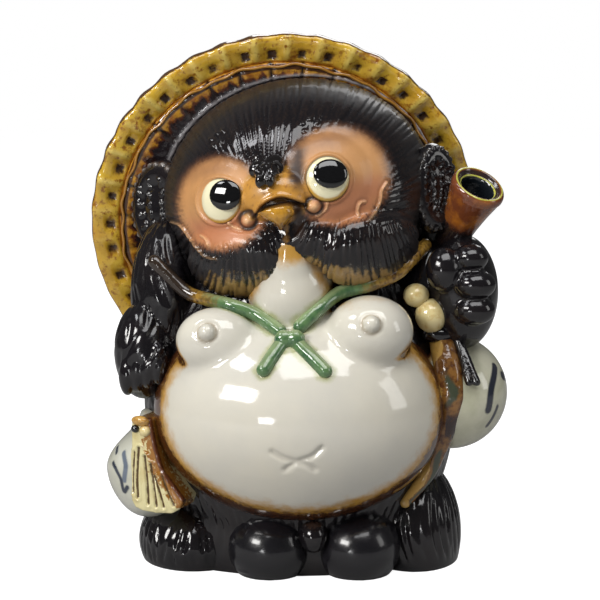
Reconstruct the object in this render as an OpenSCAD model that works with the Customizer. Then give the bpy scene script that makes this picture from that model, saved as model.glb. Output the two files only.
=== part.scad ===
// Glazed ceramic tanuki figure: a hollow pressed body and head, with the smaller clay pieces luted on.
// Millimetres. +Z is up, the figure faces -Y, and +X is the viewer's right. The origin is the middle of
// the foot ring, on the surface that the figure stands on.

/* [Body] */
// Half width of the upper body
body_half_w = 75; // [71:1:78]
// Half depth of the upper body
body_half_d = 57; // [54:1:60]
// Half height of the upper body's round
body_half_h = 95; // [90:1:99]
// Height of the upper body's middle
body_mid_z = 75; // [72:1:78]
// Half width of the furred skirt
skirt_half_w = 70; // [67:1:73]
// Half depth of the furred skirt
skirt_half_d = 48; // [46:1:50]
// Half height of the skirt's round
skirt_half_h = 62; // [58:1:66]
// Wall of the pressed body
body_wall = 6; // [4:0.5:8]
// Thickness of the floor slab
floor_t = 6; // [4:0.5:8]
// Radius of the firing vent in the floor slab
vent_r = 12; // [8:1:16]
// How far the vent lies behind the middle of the floor slab
vent_back = 20; // [16:1:22]

/* [Belly and chest] */
// Half width of the white belly
belly_half_w = 68.5; // [66:0.5:70]
// Half depth of the white belly
belly_half_d = 57; // [54:1:60]
// Half height of the white belly
belly_half_h = 52; // [50:1:54]
// Height of the belly's middle
belly_mid_z = 76; // [74:1:78]
// Wall of the pressed belly
belly_wall = 6; // [4:0.5:8]
// Half width of a breast mound
breast_half_w = 21; // [19:1:23]
// Radius of a breast stud
stud_r = 3.8; // [3:0.2:4.6]
// Half width of the chest bib
bib_half_w = 20; // [18:1:22]

/* [Head] */
// Half width of the head
head_half_w = 64; // [62:1:66]
// Half depth of the head
head_half_d = 55; // [53:1:57]
// Half height of the head
head_half_h = 54; // [52:1:56]
// Height of the head's middle
head_mid_z = 175; // [173:1:177]
// Wall of the pressed head
head_wall = 6; // [4:0.5:8]
// Radius of the neck opening that joins the two hollows
neck_r = 20; // [16:1:24]
// How far the face is tipped up, in degrees
head_tip = 7; // [5:1:9]
// How far the head leans to its own right shoulder, in degrees
head_lean = 10.5; // [8.5:0.5:12.5]
// How far the face is turned to its own right, in degrees
head_turn = 10; // [8:1:12]

/* [Face] */
// Half width of an eye patch
patch_half_w = 23; // [21:1:25]
// Half height of an eye patch
patch_half_h = 19; // [17:1:21]
// Relief of an eye patch above the head
patch_t = 1.5; // [1:0.25:2.5]
// Half width of an eyeball
eye_half_w = 9.8; // [9:0.2:10.6]
// Half height of an eyeball
eye_half_h = 10.6; // [10:0.2:11.4]
// Radius of a pupil
pupil_r = 6.6; // [6:0.2:7.2]
// Relief of a pupil above its eyeball
pupil_t = 0.8; // [0.6:0.1:1.2]
// Half width of the muzzle
muzzle_half_w = 15; // [13:1:17]
// Radius of the nose's lobes
nose_r = 4.4; // [3.8:0.2:5]
// Half width of a cheek ruff
ruff_half_w = 27; // [25:1:29]
// Half height of an ear
ear_half_h = 22; // [20:1:24]

/* [Hat] */
// Outer radius of the hat
hat_r = 94; // [91:1:96]
// Width of the crimped border
border_w = 15; // [13:1:17]
// Thickness of the crimped border
border_t = 7; // [6:0.5:8]
// Thickness of the slatted underside
slat_t = 5; // [4:0.5:6]
// Depth of the crown behind the brim
crown_h = 36; // [33:1:39]
// Wall of the crown
crown_wall = 5; // [4:0.5:6]
// How many woven rings the crown has
ring_count = 7; // [5:1:9]
// How many dimples go round the border
dimple_count = 40; // [32:2:44]
// How many slats go round the underside
slat_count = 30; // [24:2:36]
// How far the brim's face looks down, in degrees
hat_tip = 14.5; // [12:0.5:17]
// How far the brim's face is turned to the figure's left, in degrees
hat_turn = 4.5; // [2.5:0.5:6.5]
// Radius of the hat's glazed cord
cord_r = 3.2; // [2.8:0.2:3.6]

/* [Flask] */
// Radius of the flask's body
flask_r = 27; // [25:1:29]
// Height of the flask's middle
flask_mid_z = 82; // [79:1:85]
// Radius of the flask's neck at the paw
neck_end_r = 8; // [7:0.5:9]
// Length of the flask's neck above the paw
neck_len = 28; // [25:1:31]
// Outer radius of the flask's lip
lip_r = 12.5; // [11.5:0.5:13.5]
// Radius of the flask's mouth
mouth_r = 8.5; // [7.5:0.5:9]
// Depth of the flask's mouth
mouth_depth = 12; // [9:1:15]

/* [Book] */
// Width of the account book's pages at the foot
page_w = 32; // [28:1:35]
// Height of the pages
page_h = 45; // [42:1:48]
// Thickness of the book
book_t = 22; // [19:1:25]
// How many creases the pages show
crease_count = 6; // [4:1:8]

/* [Feet and tail] */
// Half width of a furred foot
foot_half_w = 28; // [26:1:30]
// Half depth of a furred foot
foot_half_d = 34; // [31:1:37]
// Half width of a pouch
pouch_half_w = 20; // [19:1:21]
// Half width of the tail
tail_half_w = 17; // [15:1:19]

/* [Hidden] */

// Roundness of the large and of the small clay forms
round_fn = 160;
small_fn = 96;

white_glaze = [0.80, 0.78, 0.71];
fur_glaze = [0.12, 0.10, 0.11];
tan_glaze = [0.72, 0.46, 0.28];
straw_glaze = [0.76, 0.58, 0.18];
brown_glaze = [0.42, 0.25, 0.10];
green_glaze = [0.30, 0.48, 0.30];
cream_glaze = [0.86, 0.80, 0.60];
black_glaze = [0.03, 0.03, 0.04];

// Middles and half sizes of the main forms
body_mid = [0, 4, body_mid_z];
body_half = [body_half_w, body_half_d, body_half_h];
skirt_mid = [0, 6, 14];
skirt_half = [skirt_half_w, skirt_half_d, skirt_half_h];
belly_mid = [0, -24, belly_mid_z];
belly_half = [belly_half_w, belly_half_d, belly_half_h];
head_mid = [-1, -2, head_mid_z];
head_half = [head_half_w, head_half_d, head_half_h];
head_rot = [-head_tip, -head_lean, -head_turn];
hat_mid = head_mid + [-7, 34, -15.5];
hat_rot = [hat_tip - 90, 0, hat_turn];

// A point on a form, from its longitude and latitude as seen from the front, pushed out by a distance
function on_round(mid, half, lon, lat, out = 0) =
    mid + [(half.x + out) * sin(lon) * cos(lat), -(half.y + out) * cos(lon) * cos(lat),
           (half.z + out) * sin(lat)];
function on_body(lon, lat, out = 0) = on_round(body_mid, body_half, lon, lat, out);
function on_belly(lon, lat, out = 0) = on_round(belly_mid, belly_half, lon, lat, out);
function on_skirt(lon, lat, out = 0) = on_round(skirt_mid, skirt_half, lon, lat, out);

// Places of the pieces on their carriers: longitude, latitude, and the distance that the middle stands out
breast_left_mid = on_belly(-52, 45, -1.5);
breast_right_mid = on_belly(45, 50, 1);
bib_mid = on_body(-4.5, 40.5, -4);
arm_left_mid = on_body(-78, 33, 2);
paw_left_mid = on_body(-67, 16, 7.5);
arm_right_mid = on_body(82.5, 34.5, -1.5);
paw_right_mid = on_body(68.5, 29.5, 18);
neck_start = on_body(72, 42.5, 27.5);
neck_rot = [0, 38, -57.5];
flask_mid = [body_half_w - 4, body_mid.y - 16, flask_mid_z];
bead_small_mid = on_body(52, 32.5, 6.5);
bead_large_mid = on_body(54, 27, 8);
strap_knot_mid = on_body(58, 21.5, 6);
foot_left_mid = on_skirt(-74.5, -6.5, -18);
foot_right_mid = on_skirt(76, -2.5, -14.5);
pouch_left_mid = on_skirt(-13.5, -2, -10);
pouch_right_mid = on_skirt(25.5, -2, -7);
pouch_bump_mid = on_skirt(5, 5.5, 0.5);
tail_mid = on_body(166, -24, 4);
book_mid = on_body(-59, -2, 5);
book_turn = -22;

belly_in = belly_half - belly_wall * [1, 1, 1];
breast_left_half = [breast_half_w, 15, 17];
breast_right_half = [breast_half_w + 1, 20, 18];
paw_right_half = [17, 19, 27];
border_mid_r = hat_r - border_w / 2;
slat_out_r = hat_r - border_w;
slat_in_r = head_half_w - 14;
dome_r = slat_out_r - 3;
far = 300;

// An ellipsoid. Its poles lie along the axis that points out of its carrier: "x", "y" or "z"
module orb(mid, half, turn = [0, 0, 0], fn = round_fn, pole = "y") {
    poles = pole == "x" ? [0, 90, 0] : pole == "y" ? [90, 0, 0] : [0, 0, 0];
    translate(mid) rotate(turn) scale(half) rotate(poles) sphere(r = 1, $fn = fn);
}

// A clay coil through points, with its own radius at each point
module coil(points, radii) {
    for (i = [0 : len(points) - 1]) {
        translate(points[i]) sphere(r = radii[i] * 1.03, $fn = small_fn);
        if (i > 0) {
            run = points[i] - points[i - 1];
            translate(points[i - 1])
                rotate([0, acos(run.z / norm(run)), atan2(run.y, run.x)])
                cylinder(h = norm(run), r1 = radii[i - 1], r2 = radii[i], $fn = small_fn);
        }
    }
}

// Places children on the head, their -Y axis pointing straight out of it
module on_head(lon, lat, out = 0) {
    translate(head_mid) rotate(head_rot)
        translate(on_round([0, 0, 0], head_half, lon, lat, out))
        rotate([0, 0, lon]) rotate([-lat, 0, 0]) children();
}

module in_hat() {
    translate(hat_mid) rotate(hat_rot) children();
}

module in_book() {
    translate(book_mid) rotate([0, 0, book_turn]) children();
}

module above_floor() {
    difference() {
        children();
        translate([-far, -far, -far]) cube([2 * far, 2 * far, far]);
    }
}

module head_form(grow = 0) {
    orb(head_mid, head_half + grow * [1, 1, 1], head_rot, pole = "z");
}

module belly_form() {
    orb(belly_mid, belly_half, pole = "z");
}

module body_form(grow = 0) {
    orb(body_mid, body_half + grow * [1, 1, 1], pole = "z");
    orb(skirt_mid, skirt_half + grow * [1, 1, 1], pole = "z");
}

module trunk() {
    head_form();
    belly_form();
    body_form();
}

module pressed_body() {
    difference() {
        above_floor() body_form();
        body_form(-body_wall);
        belly_form();
        head_form();
    }
}

module front_body_shell() {
    color(fur_glaze) difference() {
        pressed_body();
        translate([-far, body_mid.y, -far]) cube([2 * far, far, 2 * far]);
    }
}

module back_body_shell() {
    color(fur_glaze) difference() {
        pressed_body();
        translate([-far, body_mid.y - far, -far]) cube([2 * far, far, 2 * far]);
    }
}

module floor_slab() {
    color(brown_glaze) difference() {
        intersection() {
            orb(skirt_mid, skirt_half - body_wall * [1, 1, 1], pole = "z");
            translate([-far, -far, 0]) cube([2 * far, 2 * far, floor_t]);
        }
        translate([0, vent_back, -1]) cylinder(h = floor_t + 2, r = vent_r, $fn = small_fn);
    }
}

module belly_shell() {
    color(white_glaze) difference() {
        belly_form();
        orb(belly_mid, belly_in, pole = "z");
        body_form(-body_wall);
        head_form();
        for (side = [-1, 1])
            orb(on_belly(-2 + 0.4 * side, -12, 1), [15, 3, 1.6], [0, 18 * side, 0], pole = "x");
    }
}

module breast_left_form() {
    orb(breast_left_mid, breast_left_half);
}

module breast_right_form() {
    orb(breast_right_mid, breast_right_half);
}

module breast_left() {
    color(white_glaze) difference() {
        breast_left_form();
        trunk();
    }
}

module breast_right() {
    color(white_glaze) difference() {
        breast_right_form();
        trunk();
    }
}

module stud_left() {
    color(white_glaze) difference() {
        orb(on_round(breast_left_mid, breast_left_half, -14, 24), stud_r * [1, 1, 1], fn = small_fn);
        breast_left_form();
    }
}

module stud_right() {
    color(white_glaze) difference() {
        orb(on_round(breast_right_mid, breast_right_half, 0, 22), stud_r * [1, 1, 1], fn = small_fn);
        breast_right_form();
    }
}

module bib_form() {
    orb(bib_mid, [bib_half_w, 22, 26]);
}

module chest_bib() {
    color(white_glaze) difference() {
        bib_form();
        trunk();
        breast_left_form();
        breast_right_form();
    }
}

module pressed_head() {
    difference() {
        head_form();
        head_form(-head_wall);
        translate([0, body_mid.y, head_mid_z - 2 * head_half_h])
            cylinder(h = 2 * head_half_h, r = neck_r, $fn = small_fn);
    }
}

module head_half_space(side) {
    translate(head_mid) rotate(head_rot)
        translate([-far, side > 0 ? 0 : -far, -far]) cube([2 * far, far, 2 * far]);
}

module head_front_shell() {
    color(fur_glaze) difference() {
        pressed_head();
        head_half_space(1);
    }
}

module head_back_shell() {
    color(fur_glaze) difference() {
        pressed_head();
        head_half_space(-1);
    }
}

module eye_form(side, grow = 0) {
    at = side < 0 ? [-23, -1.5] : [22, 1];
    on_head(at[0], at[1], -0.5)
        orb([0, 0, 0], [eye_half_w + grow, 5 + grow, eye_half_h + grow], fn = small_fn, pole = "x");
}

module eye(side) {
    color(cream_glaze) difference() {
        eye_form(side);
        head_form();
    }
}

module eye_left() {
    eye(-1);
}

module eye_right() {
    eye(1);
}

module pupil(side) {
    at = side < 0 ? [-20, 0.5] : [23.5, 3];
    color(black_glaze) difference() {
        intersection() {
            eye_form(side, pupil_t);
            on_head(at[0], at[1]) rotate([90, 0, 0]) cylinder(h = 20, r = pupil_r, $fn = small_fn);
        }
        eye_form(side);
        head_form(patch_t);
    }
}

module pupil_left() {
    pupil(-1);
}

module pupil_right() {
    pupil(1);
}

module muzzle_form() {
    on_head(0, -3, 0) orb([0, 0, 0], [muzzle_half_w, 9, 11]);
}

module lip_form() {
    on_head(1, -15, 0) orb([0, 0, 0], [muzzle_half_w - 3, 6.5, 7]);
}

module nose_form() {
    for (spot = [[-4, 8], [2, 8], [-1, 3.5]])
        on_head(spot[0], spot[1], 7) sphere(r = nose_r, $fn = small_fn);
}

module muzzle() {
    color(brown_glaze) difference() {
        muzzle_form();
        head_form();
        eye_form(-1);
        eye_form(1);
    }
}

module lower_lip() {
    color(straw_glaze) difference() {
        lip_form();
        head_form();
        muzzle_form();
        bib_form();
    }
}

module nose() {
    color(black_glaze) difference() {
        nose_form();
        muzzle_form();
        head_form();
    }
}

module ruff_form(side) {
    at = side < 0 ? [-30, -33, -2] : [44, -38, -1.5];
    on_head(at[0], at[1], at[2]) orb([0, 0, 0], [ruff_half_w, 12, 19], pole = "z");
}

module ruff(side) {
    color(fur_glaze) difference() {
        ruff_form(side);
        head_form();
        body_form();
        bib_form();
        lip_form();
        muzzle_form();
    }
}

module ruff_left() {
    ruff(-1);
}

module ruff_right() {
    ruff(1);
}

module patch(side) {
    at = side < 0 ? [-35, 0] : [27, 2];
    color(tan_glaze) difference() {
        intersection() {
            head_form(patch_t);
            on_head(at[0], at[1]) rotate([90, 0, 0]) scale([patch_half_w, patch_half_h, 1])
                cylinder(h = 40, r = 1, center = true, $fn = round_fn);
        }
        head_form();
        eye_form(side);
        muzzle_form();
        nose_form();
        ruff_form(side);
    }
}

module patch_left() {
    patch(-1);
}

module patch_right() {
    patch(1);
}

module forehead_fringe() {
    color(fur_glaze) difference() {
        for (lock = [-2 : 2])
            on_head(1 + 7 * lock, 44 - 2 * abs(lock), 0)
                orb([0, 0, 0], [4.2, 2.6, 13], [0, -5 * lock, 0], small_fn);
        head_form();
    }
}

module at_ear(side) {
    at = side < 0 ? [-87, 10] : [84, -9];
    on_head(at[0], at[1], 1) rotate([0, 0, -40 * side]) children();
}

module ear_form(side) {
    at_ear(side) orb([0, 0, 0], [14, 9, ear_half_h]);
}

module ear(side) {
    color(fur_glaze) difference() {
        ear_form(side);
        at_ear(side) orb([0, -9, 0], [9, 6, ear_half_h - 6]);
        head_form();
        if (side > 0) neck_form();
    }
}

module ear_left() {
    ear(-1);
}

module ear_right() {
    ear(1);
}

module ridge_form() {
    in_hat() translate([0, 0, -border_t / 2]) rotate_extrude($fn = round_fn)
        translate([slat_out_r, 0]) circle(r = 1.8, $fn = 24);
}

module hat_border() {
    flat_w = border_w - border_t;
    color(straw_glaze) difference() {
        in_hat() difference() {
            rotate_extrude($fn = round_fn) polygon(concat(
                [[slat_out_r, border_t / 2], [slat_out_r, -border_t / 2]],
                [for (a = [-90 : 30 : 90]) [hat_r + border_t / 2 * (cos(a) - 1), border_t / 2 * sin(a)]]));
            for (i = [0 : dimple_count - 1])
                rotate([0, 0, 360 * i / dimple_count])
                    translate([slat_out_r + flat_w / 2 + 1, 0, -border_t / 2 - 2])
                    sphere(r = 4, $fn = 48);
        }
        ridge_form();
        trunk();
    }
}

module hat_ridge() {
    color(brown_glaze) difference() {
        ridge_form();
        trunk();
    }
}

module hat_slats() {
    color(brown_glaze) difference() {
        in_hat() difference() {
            translate([0, 0, -slat_t / 2]) rotate_extrude($fn = round_fn)
                translate([slat_in_r, 0]) square([slat_out_r - slat_in_r, slat_t]);
            for (i = [0 : slat_count - 1])
                rotate([0, 0, 360 * (i + 0.5) / slat_count])
                    translate([slat_in_r + 8, -0.7, -slat_t / 2 - 1]) cube([slat_out_r - slat_in_r - 11, 1.4, 2.2]);
        }
        ridge_form();
        trunk();
        ear_form(-1);
    }
}

// Outer line of the crown: a low dome of woven rings, each ring a small step
function dome_line(r, h) = concat(
    [for (k = [0 : ring_count - 1], part = [0, 1])
        let (low = 84 * k / ring_count, high = 84 * (k + 0.8) / ring_count)
        part == 0 ? [r * cos(low), h * sin(low)] : [r * cos(high) + 0.9, h * sin(high)]],
    [[r * cos(84), h * sin(84)], [3, h + 4], [0, h + 5]]);

module hat_crown() {
    color(straw_glaze) difference() {
        in_hat() difference() {
            translate([0, 0, slat_t / 2]) rotate_extrude($fn = round_fn)
                polygon(concat([[0, 0]], dome_line(dome_r, crown_h)));
            translate([0, 0, slat_t / 2 - 0.01]) intersection() {
                scale([dome_r - crown_wall, dome_r - crown_wall, crown_h - crown_wall])
                    sphere(r = 1, $fn = round_fn);
                cylinder(h = far, r = far, $fn = small_fn);
            }
        }
        trunk();
    }
}

module arm_left_form() {
    orb(arm_left_mid, [17, 24, 36], pole = "x");
}

module arm_left() {
    color(fur_glaze) difference() {
        arm_left_form();
        trunk();
        ruff_form(-1);
        ear_form(-1);
        breast_left_form();
    }
}

module paw_left_form() {
    orb(paw_left_mid, [14, 16, 23], pole = "z");
    for (finger = [0 : 3])
        orb(paw_left_mid + [-7 + 5 * finger, -9 - 1.5 * finger, -10 + 2 * finger], [4.2, 6, 10],
            fn = small_fn);
}

module paw_left() {
    color(fur_glaze) difference() {
        paw_left_form();
        trunk();
        arm_left_form();
    }
}

module arm_right_form() {
    orb(arm_right_mid, [20, 26, 32], pole = "x");
}

module arm_right() {
    color(fur_glaze) difference() {
        arm_right_form();
        trunk();
        ruff_form(1);
        ear_form(1);
        breast_right_form();
    }
}

module paw_right_form() {
    orb(paw_right_mid, paw_right_half, pole = "x");
}

module paw_right() {
    color(fur_glaze) difference() {
        paw_right_form();
        trunk();
        arm_right_form();
    }
}

module thumb_form() {
    orb(paw_right_mid + [-9, -13, 12], [9, 9, 11], fn = small_fn);
}

module thumb_right() {
    color(fur_glaze) difference() {
        thumb_form();
        trunk();
        arm_right_form();
        paw_right_form();
        ruff_form(1);
    }
}

module fingers_form() {
    for (finger = [0 : 2])
        orb(paw_right_mid + [5, -13 - finger, 17 - 12 * finger], [9, 8, 7], fn = small_fn);
}

module fingers_right() {
    color(fur_glaze) difference() {
        fingers_form();
        paw_right_form();
        thumb_form();
    }
}

module flask_form() {
    translate(flask_mid) sphere(r = flask_r, $fn = round_fn);
}

module flask_body() {
    color(white_glaze) difference() {
        flask_form();
        trunk();
        arm_right_form();
        paw_right_form();
    }
}

module at_neck() {
    translate(neck_start) rotate(neck_rot) children();
}

module neck_form() {
    at_neck() translate([0, 0, -8])
        cylinder(h = neck_len + 8, r1 = neck_end_r - 1, r2 = lip_r, $fn = small_fn);
}

module lip_bar(grow = 0) {
    at_neck() translate([0, 0, neck_len]) rotate_extrude($fn = small_fn)
        translate([(lip_r + mouth_r) / 2, 0]) circle(r = (lip_r - mouth_r) / 2 + grow, $fn = 32);
}

module flask_neck() {
    color(brown_glaze) difference() {
        neck_form();
        at_neck() translate([0, 0, neck_len - mouth_depth])
            cylinder(h = mouth_depth + 1, r = mouth_r, $fn = small_fn);
        lip_bar();
        arm_right_form();
        paw_right_form();
        thumb_form();
        fingers_form();
        trunk();
    }
}

module flask_lip() {
    color(straw_glaze) lip_bar();
}

strap_points = [on_body(58.5, 18, 6), on_body(55.5, 11, 9), on_body(54, 4.5, 10), on_body(54, -2, 8),
    on_body(57, -10.5, 3), on_body(54.5, -18, 1), on_body(46, -26, 1)];
strap_radii = [5.5, 7, 7.5, 6, 4.8, 4.2, 3.6];

module strap_knot_form() {
    orb(strap_knot_mid, [8, 6, 4.5], fn = small_fn);
}

module flask_strap() {
    color(brown_glaze) difference() {
        coil(strap_points, strap_radii);
        trunk();
        flask_form();
        foot_right_form();
        paw_right_form();
        strap_knot_form();
    }
}

module bead_large_form() {
    orb(bead_large_mid, [7.5, 7.5, 8], fn = small_fn);
}

module bead_small_form() {
    orb(bead_small_mid, [6.5, 6, 6], fn = small_fn);
}

module strap_knot() {
    color(black_glaze) difference() {
        strap_knot_form();
        trunk();
        paw_right_form();
        arm_right_form();
        bead_large_form();
    }
}

module bead_small() {
    color(cream_glaze) difference() {
        bead_small_form();
        trunk();
        arm_right_form();
        paw_right_form();
        breast_right_form();
    }
}

module bead_large() {
    color(cream_glaze) difference() {
        bead_large_form();
        trunk();
        arm_right_form();
        paw_right_form();
        bead_small_form();
    }
}

// Outline of the pages: narrow at the tie, fanned and rounded at the foot
page_points = concat(
    [[-page_w / 4, 0], [-page_w / 4, -page_h + 2]],
    [for (a = [0 : 15 : 90]) [page_w * (-0.25 + sin(a)), -page_h + 9 - 9 * cos(a)]],
    [[page_w / 8, -8], [page_w / 8, 0]]);

module pages_form() {
    in_book() translate([0, book_t / 2, 0]) rotate([90, 0, 0]) linear_extrude(book_t)
        polygon(page_points);
}

module book_pages() {
    color(cream_glaze) difference() {
        pages_form();
        in_book() for (i = [1 : crease_count])
            translate([0, -book_t / 2, -6]) rotate([0, 8 - 38 * i / (crease_count + 1), 0])
                translate([-0.4, -1, -page_h]) cube([0.8, 2, page_h - 6]);
        trunk();
        paw_left_form();
        foot_left_form();
    }
}

module book_cover() {
    color(white_glaze) difference() {
        orb(book_mid + [-3, 16, -24], [23, 22, 26], pole = "x");
        pages_form();
        trunk();
        arm_left_form();
        paw_left_form();
        foot_left_form();
    }
}

module book_cap() {
    color(brown_glaze) difference() {
        in_book() orb([-2, -book_t / 2 + 3.5, 0.4], [8, 8, 4.6], fn = small_fn, pole = "z");
        pages_form();
        trunk();
        paw_left_form();
    }
}

module toggle_form() {
    in_book() orb([1, -book_t / 2, -9], [4.2, 4, 4.2], fn = small_fn);
}

module book_tie() {
    color(black_glaze) difference() {
        in_book() orb([-5, -book_t / 2, -8], [4.5, 3.5, 2.6], fn = small_fn);
        pages_form();
        toggle_form();
    }
}

module book_toggle() {
    color(cream_glaze) difference() {
        toggle_form();
        pages_form();
    }
}

module cord_knot_form() {
    for (side = [-1, 1])
        orb(on_belly(-4.5 + 2.5 * side, 49.5, 1), [4.6, 4, 4.6], fn = small_fn);
}

module cord_knot() {
    color(green_glaze) difference() {
        cord_knot_form();
        trunk();
        bib_form();
    }
}

module cord_tail_form(lon) {
    coil([on_belly(-5, 49, 1), on_belly(lon, 30.5, 0.5)], [cord_r, cord_r + 0.4]);
}

module cord_tail_left() {
    color(green_glaze) difference() {
        cord_tail_form(-15.5);
        trunk();
        cord_knot_form();
        breast_left_form();
    }
}

module cord_tail_right() {
    color(green_glaze) difference() {
        cord_tail_form(10.5);
        trunk();
        cord_knot_form();
        cord_tail_form(-15.5);
        breast_right_form();
    }
}

module cord_left() {
    color(green_glaze) difference() {
        coil([on_body(-61, 37.5, 21), on_body(-51, 34, 8), on_body(-40, 33, 5), on_body(-26, 30.5, 10),
            on_body(-16, 29, 7.5), on_belly(-10, 52, 0.5)], [for (i = [1 : 6]) cord_r]);
        trunk();
        cord_knot_form();
        arm_left_form();
        ruff_form(-1);
        bib_form();
        breast_left_form();
    }
}

module cord_right() {
    color(green_glaze) difference() {
        coil([on_body(62.5, 44, 16), on_body(46.5, 40.5, 15), on_body(39, 38, 12), on_body(27, 36.5, 10),
            on_body(16, 35.5, 6), on_belly(10, 60, 4), on_belly(0, 55, 1)], [for (i = [1 : 7]) cord_r]);
        trunk();
        cord_knot_form();
        arm_right_form();
        ruff_form(1);
        bib_form();
        breast_right_form();
    }
}

module foot_left_form() {
    orb(foot_left_mid, [foot_half_w, foot_half_d, 24]);
}

module foot_right_form() {
    orb(foot_right_mid, [foot_half_w - 4, foot_half_d, 36], pole = "x");
}

module pouch_left_form() {
    orb(pouch_left_mid, [pouch_half_w, 22, 19]);
}

module pouch_right_form() {
    orb(pouch_right_mid, [pouch_half_w, 22, 19]);
}

module foot_left() {
    color(fur_glaze) difference() {
        above_floor() foot_left_form();
        trunk();
        pouch_left_form();
    }
}

module foot_right() {
    color(fur_glaze) difference() {
        above_floor() foot_right_form();
        trunk();
        pouch_right_form();
    }
}

module pouch_left() {
    color(black_glaze) difference() {
        above_floor() pouch_left_form();
        trunk();
    }
}

module pouch_right() {
    color(black_glaze) difference() {
        above_floor() pouch_right_form();
        trunk();
        pouch_left_form();
    }
}

module pouch_bump() {
    color(fur_glaze) difference() {
        orb(pouch_bump_mid, [7, 9, 8], fn = small_fn);
        trunk();
        pouch_left_form();
        pouch_right_form();
    }
}

module tail() {
    color(fur_glaze) difference() {
        above_floor() orb(tail_mid, [tail_half_w, 14, 30], [0, -18, 0]);
        trunk();
    }
}

front_body_shell();
back_body_shell();
floor_slab();
belly_shell();
chest_bib();
breast_left();
breast_right();
stud_left();
stud_right();
head_front_shell();
head_back_shell();
patch_left();
patch_right();
eye_left();
eye_right();
pupil_left();
pupil_right();
muzzle();
lower_lip();
nose();
ruff_left();
ruff_right();
forehead_fringe();
ear_left();
ear_right();
hat_border();
hat_ridge();
hat_slats();
hat_crown();
cord_left();
cord_right();
cord_knot();
cord_tail_left();
cord_tail_right();
arm_left();
paw_left();
arm_right();
paw_right();
thumb_right();
fingers_right();
flask_body();
flask_neck();
flask_lip();
flask_strap();
strap_knot();
bead_small();
bead_large();
book_pages();
book_cover();
book_cap();
book_tie();
book_toggle();
foot_left();
foot_right();
pouch_left();
pouch_right();
pouch_bump();
tail();
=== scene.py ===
# A glazed ceramic tanuki figure. Each piece is modelled as the potter would press, coil and comb it,
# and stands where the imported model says. All sizes are in metres.
import math

import bpy
import numpy as np
from mathutils import Euler, Matrix, Vector, bvhtree


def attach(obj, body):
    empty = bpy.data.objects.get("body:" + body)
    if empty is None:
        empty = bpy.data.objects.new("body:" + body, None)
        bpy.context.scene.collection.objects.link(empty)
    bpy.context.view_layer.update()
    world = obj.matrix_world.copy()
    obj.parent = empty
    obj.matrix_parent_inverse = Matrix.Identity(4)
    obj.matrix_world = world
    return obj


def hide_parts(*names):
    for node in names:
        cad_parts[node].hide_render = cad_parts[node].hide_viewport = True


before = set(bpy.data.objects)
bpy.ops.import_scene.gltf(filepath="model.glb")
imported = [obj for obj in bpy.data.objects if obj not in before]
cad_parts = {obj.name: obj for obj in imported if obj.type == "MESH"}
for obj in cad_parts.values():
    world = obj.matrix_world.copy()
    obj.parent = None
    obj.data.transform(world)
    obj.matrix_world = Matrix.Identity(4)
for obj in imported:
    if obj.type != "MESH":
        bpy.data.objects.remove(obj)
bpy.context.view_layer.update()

# Furred body: one hollow stoneware pressing, narrow at the shoulders and wide at the hem.
# It is pressed in two halves, luted at the sides, combed while leather hard, and dipped in a
# black-brown iron glaze that lies thick in the comb marks.
body_middle = Vector((0.0, 0.004, 0.075))
body_half = Vector((0.075, 0.057, 0.095))
skirt_middle = Vector((0.0, 0.006, 0.014))
skirt_half = Vector((0.070, 0.048, 0.062))
body_grain = 0.0012
body_fur_pitch = 0.0050
body_fur_length = 0.020
body_fur_depth = 0.0009
eye_point = Vector((0.0, -0.8912, 0.2493))


def at(middle, turn=(0.0, 0.0, 0.0)):
    """A place in the figure: a middle, and a turn in degrees."""
    return Matrix.Translation(middle) @ Euler([math.radians(a) for a in turn]).to_matrix().to_4x4()


def on_ball(middle, half, lon, lat, out=0.0):
    """A point on a ball of clay, by its longitude and latitude as seen from the front."""
    lon, lat = math.radians(lon), math.radians(lat)
    return Vector((
        middle[0] + (half[0] + out) * math.sin(lon) * math.cos(lat),
        middle[1] - (half[1] + out) * math.cos(lon) * math.cos(lat),
        middle[2] + (half[2] + out) * math.sin(lat),
    ))


def on_body(lon, lat, out=0.0):
    return on_ball(body_middle, body_half, lon, lat, out)


def clay_ball(place, half, cuts=6):
    """A ball of clay pressed to its half size on each axis."""
    bpy.ops.object.select_all(action="DESELECT")
    bpy.ops.mesh.primitive_ico_sphere_add(subdivisions=cuts, radius=1.0)
    ball = bpy.context.object
    ball.matrix_world = place @ Matrix.Diagonal((*half, 1.0))
    return ball


def only(obj):
    """Makes one piece the selected and active one."""
    bpy.ops.object.select_all(action="DESELECT")
    obj.select_set(True)
    bpy.context.view_layer.objects.active = obj
    return obj


def fuse(name, lumps, grain, rubs):
    """Presses lumps of clay into one skin, and rubs its joins smooth with a wet finger."""
    bpy.ops.object.select_all(action="DESELECT")
    for lump in lumps:
        lump.select_set(True)
    bpy.context.view_layer.objects.active = lumps[0]
    if len(lumps) > 1:
        bpy.ops.object.join()
    obj = only(lumps[0])
    obj.name = obj.data.name = name
    bpy.ops.object.transform_apply(location=True, rotation=True, scale=True)
    clay = obj.modifiers.new("clay", "REMESH")
    clay.mode = "VOXEL"
    clay.voxel_size = grain
    bpy.ops.object.modifier_apply(modifier=clay.name)
    rub(obj, rubs)
    bpy.ops.object.shade_smooth()
    return obj


def rub(obj, rounds):
    only(obj)
    smooth = obj.modifiers.new("rub", "SMOOTH")
    smooth.factor = 0.5
    smooth.iterations = rounds
    bpy.ops.object.modifier_apply(modifier=smooth.name)


def on_whole_mesh(obj, *steps):
    """Takes steps of mesh editing, each a tool and its settings, on the whole of a piece."""
    only(obj)
    bpy.ops.object.mode_set(mode="EDIT")
    bpy.ops.mesh.select_all(action="SELECT")
    for tool, settings in steps:
        tool(**settings)
    bpy.ops.object.mode_set(mode="OBJECT")


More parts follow.
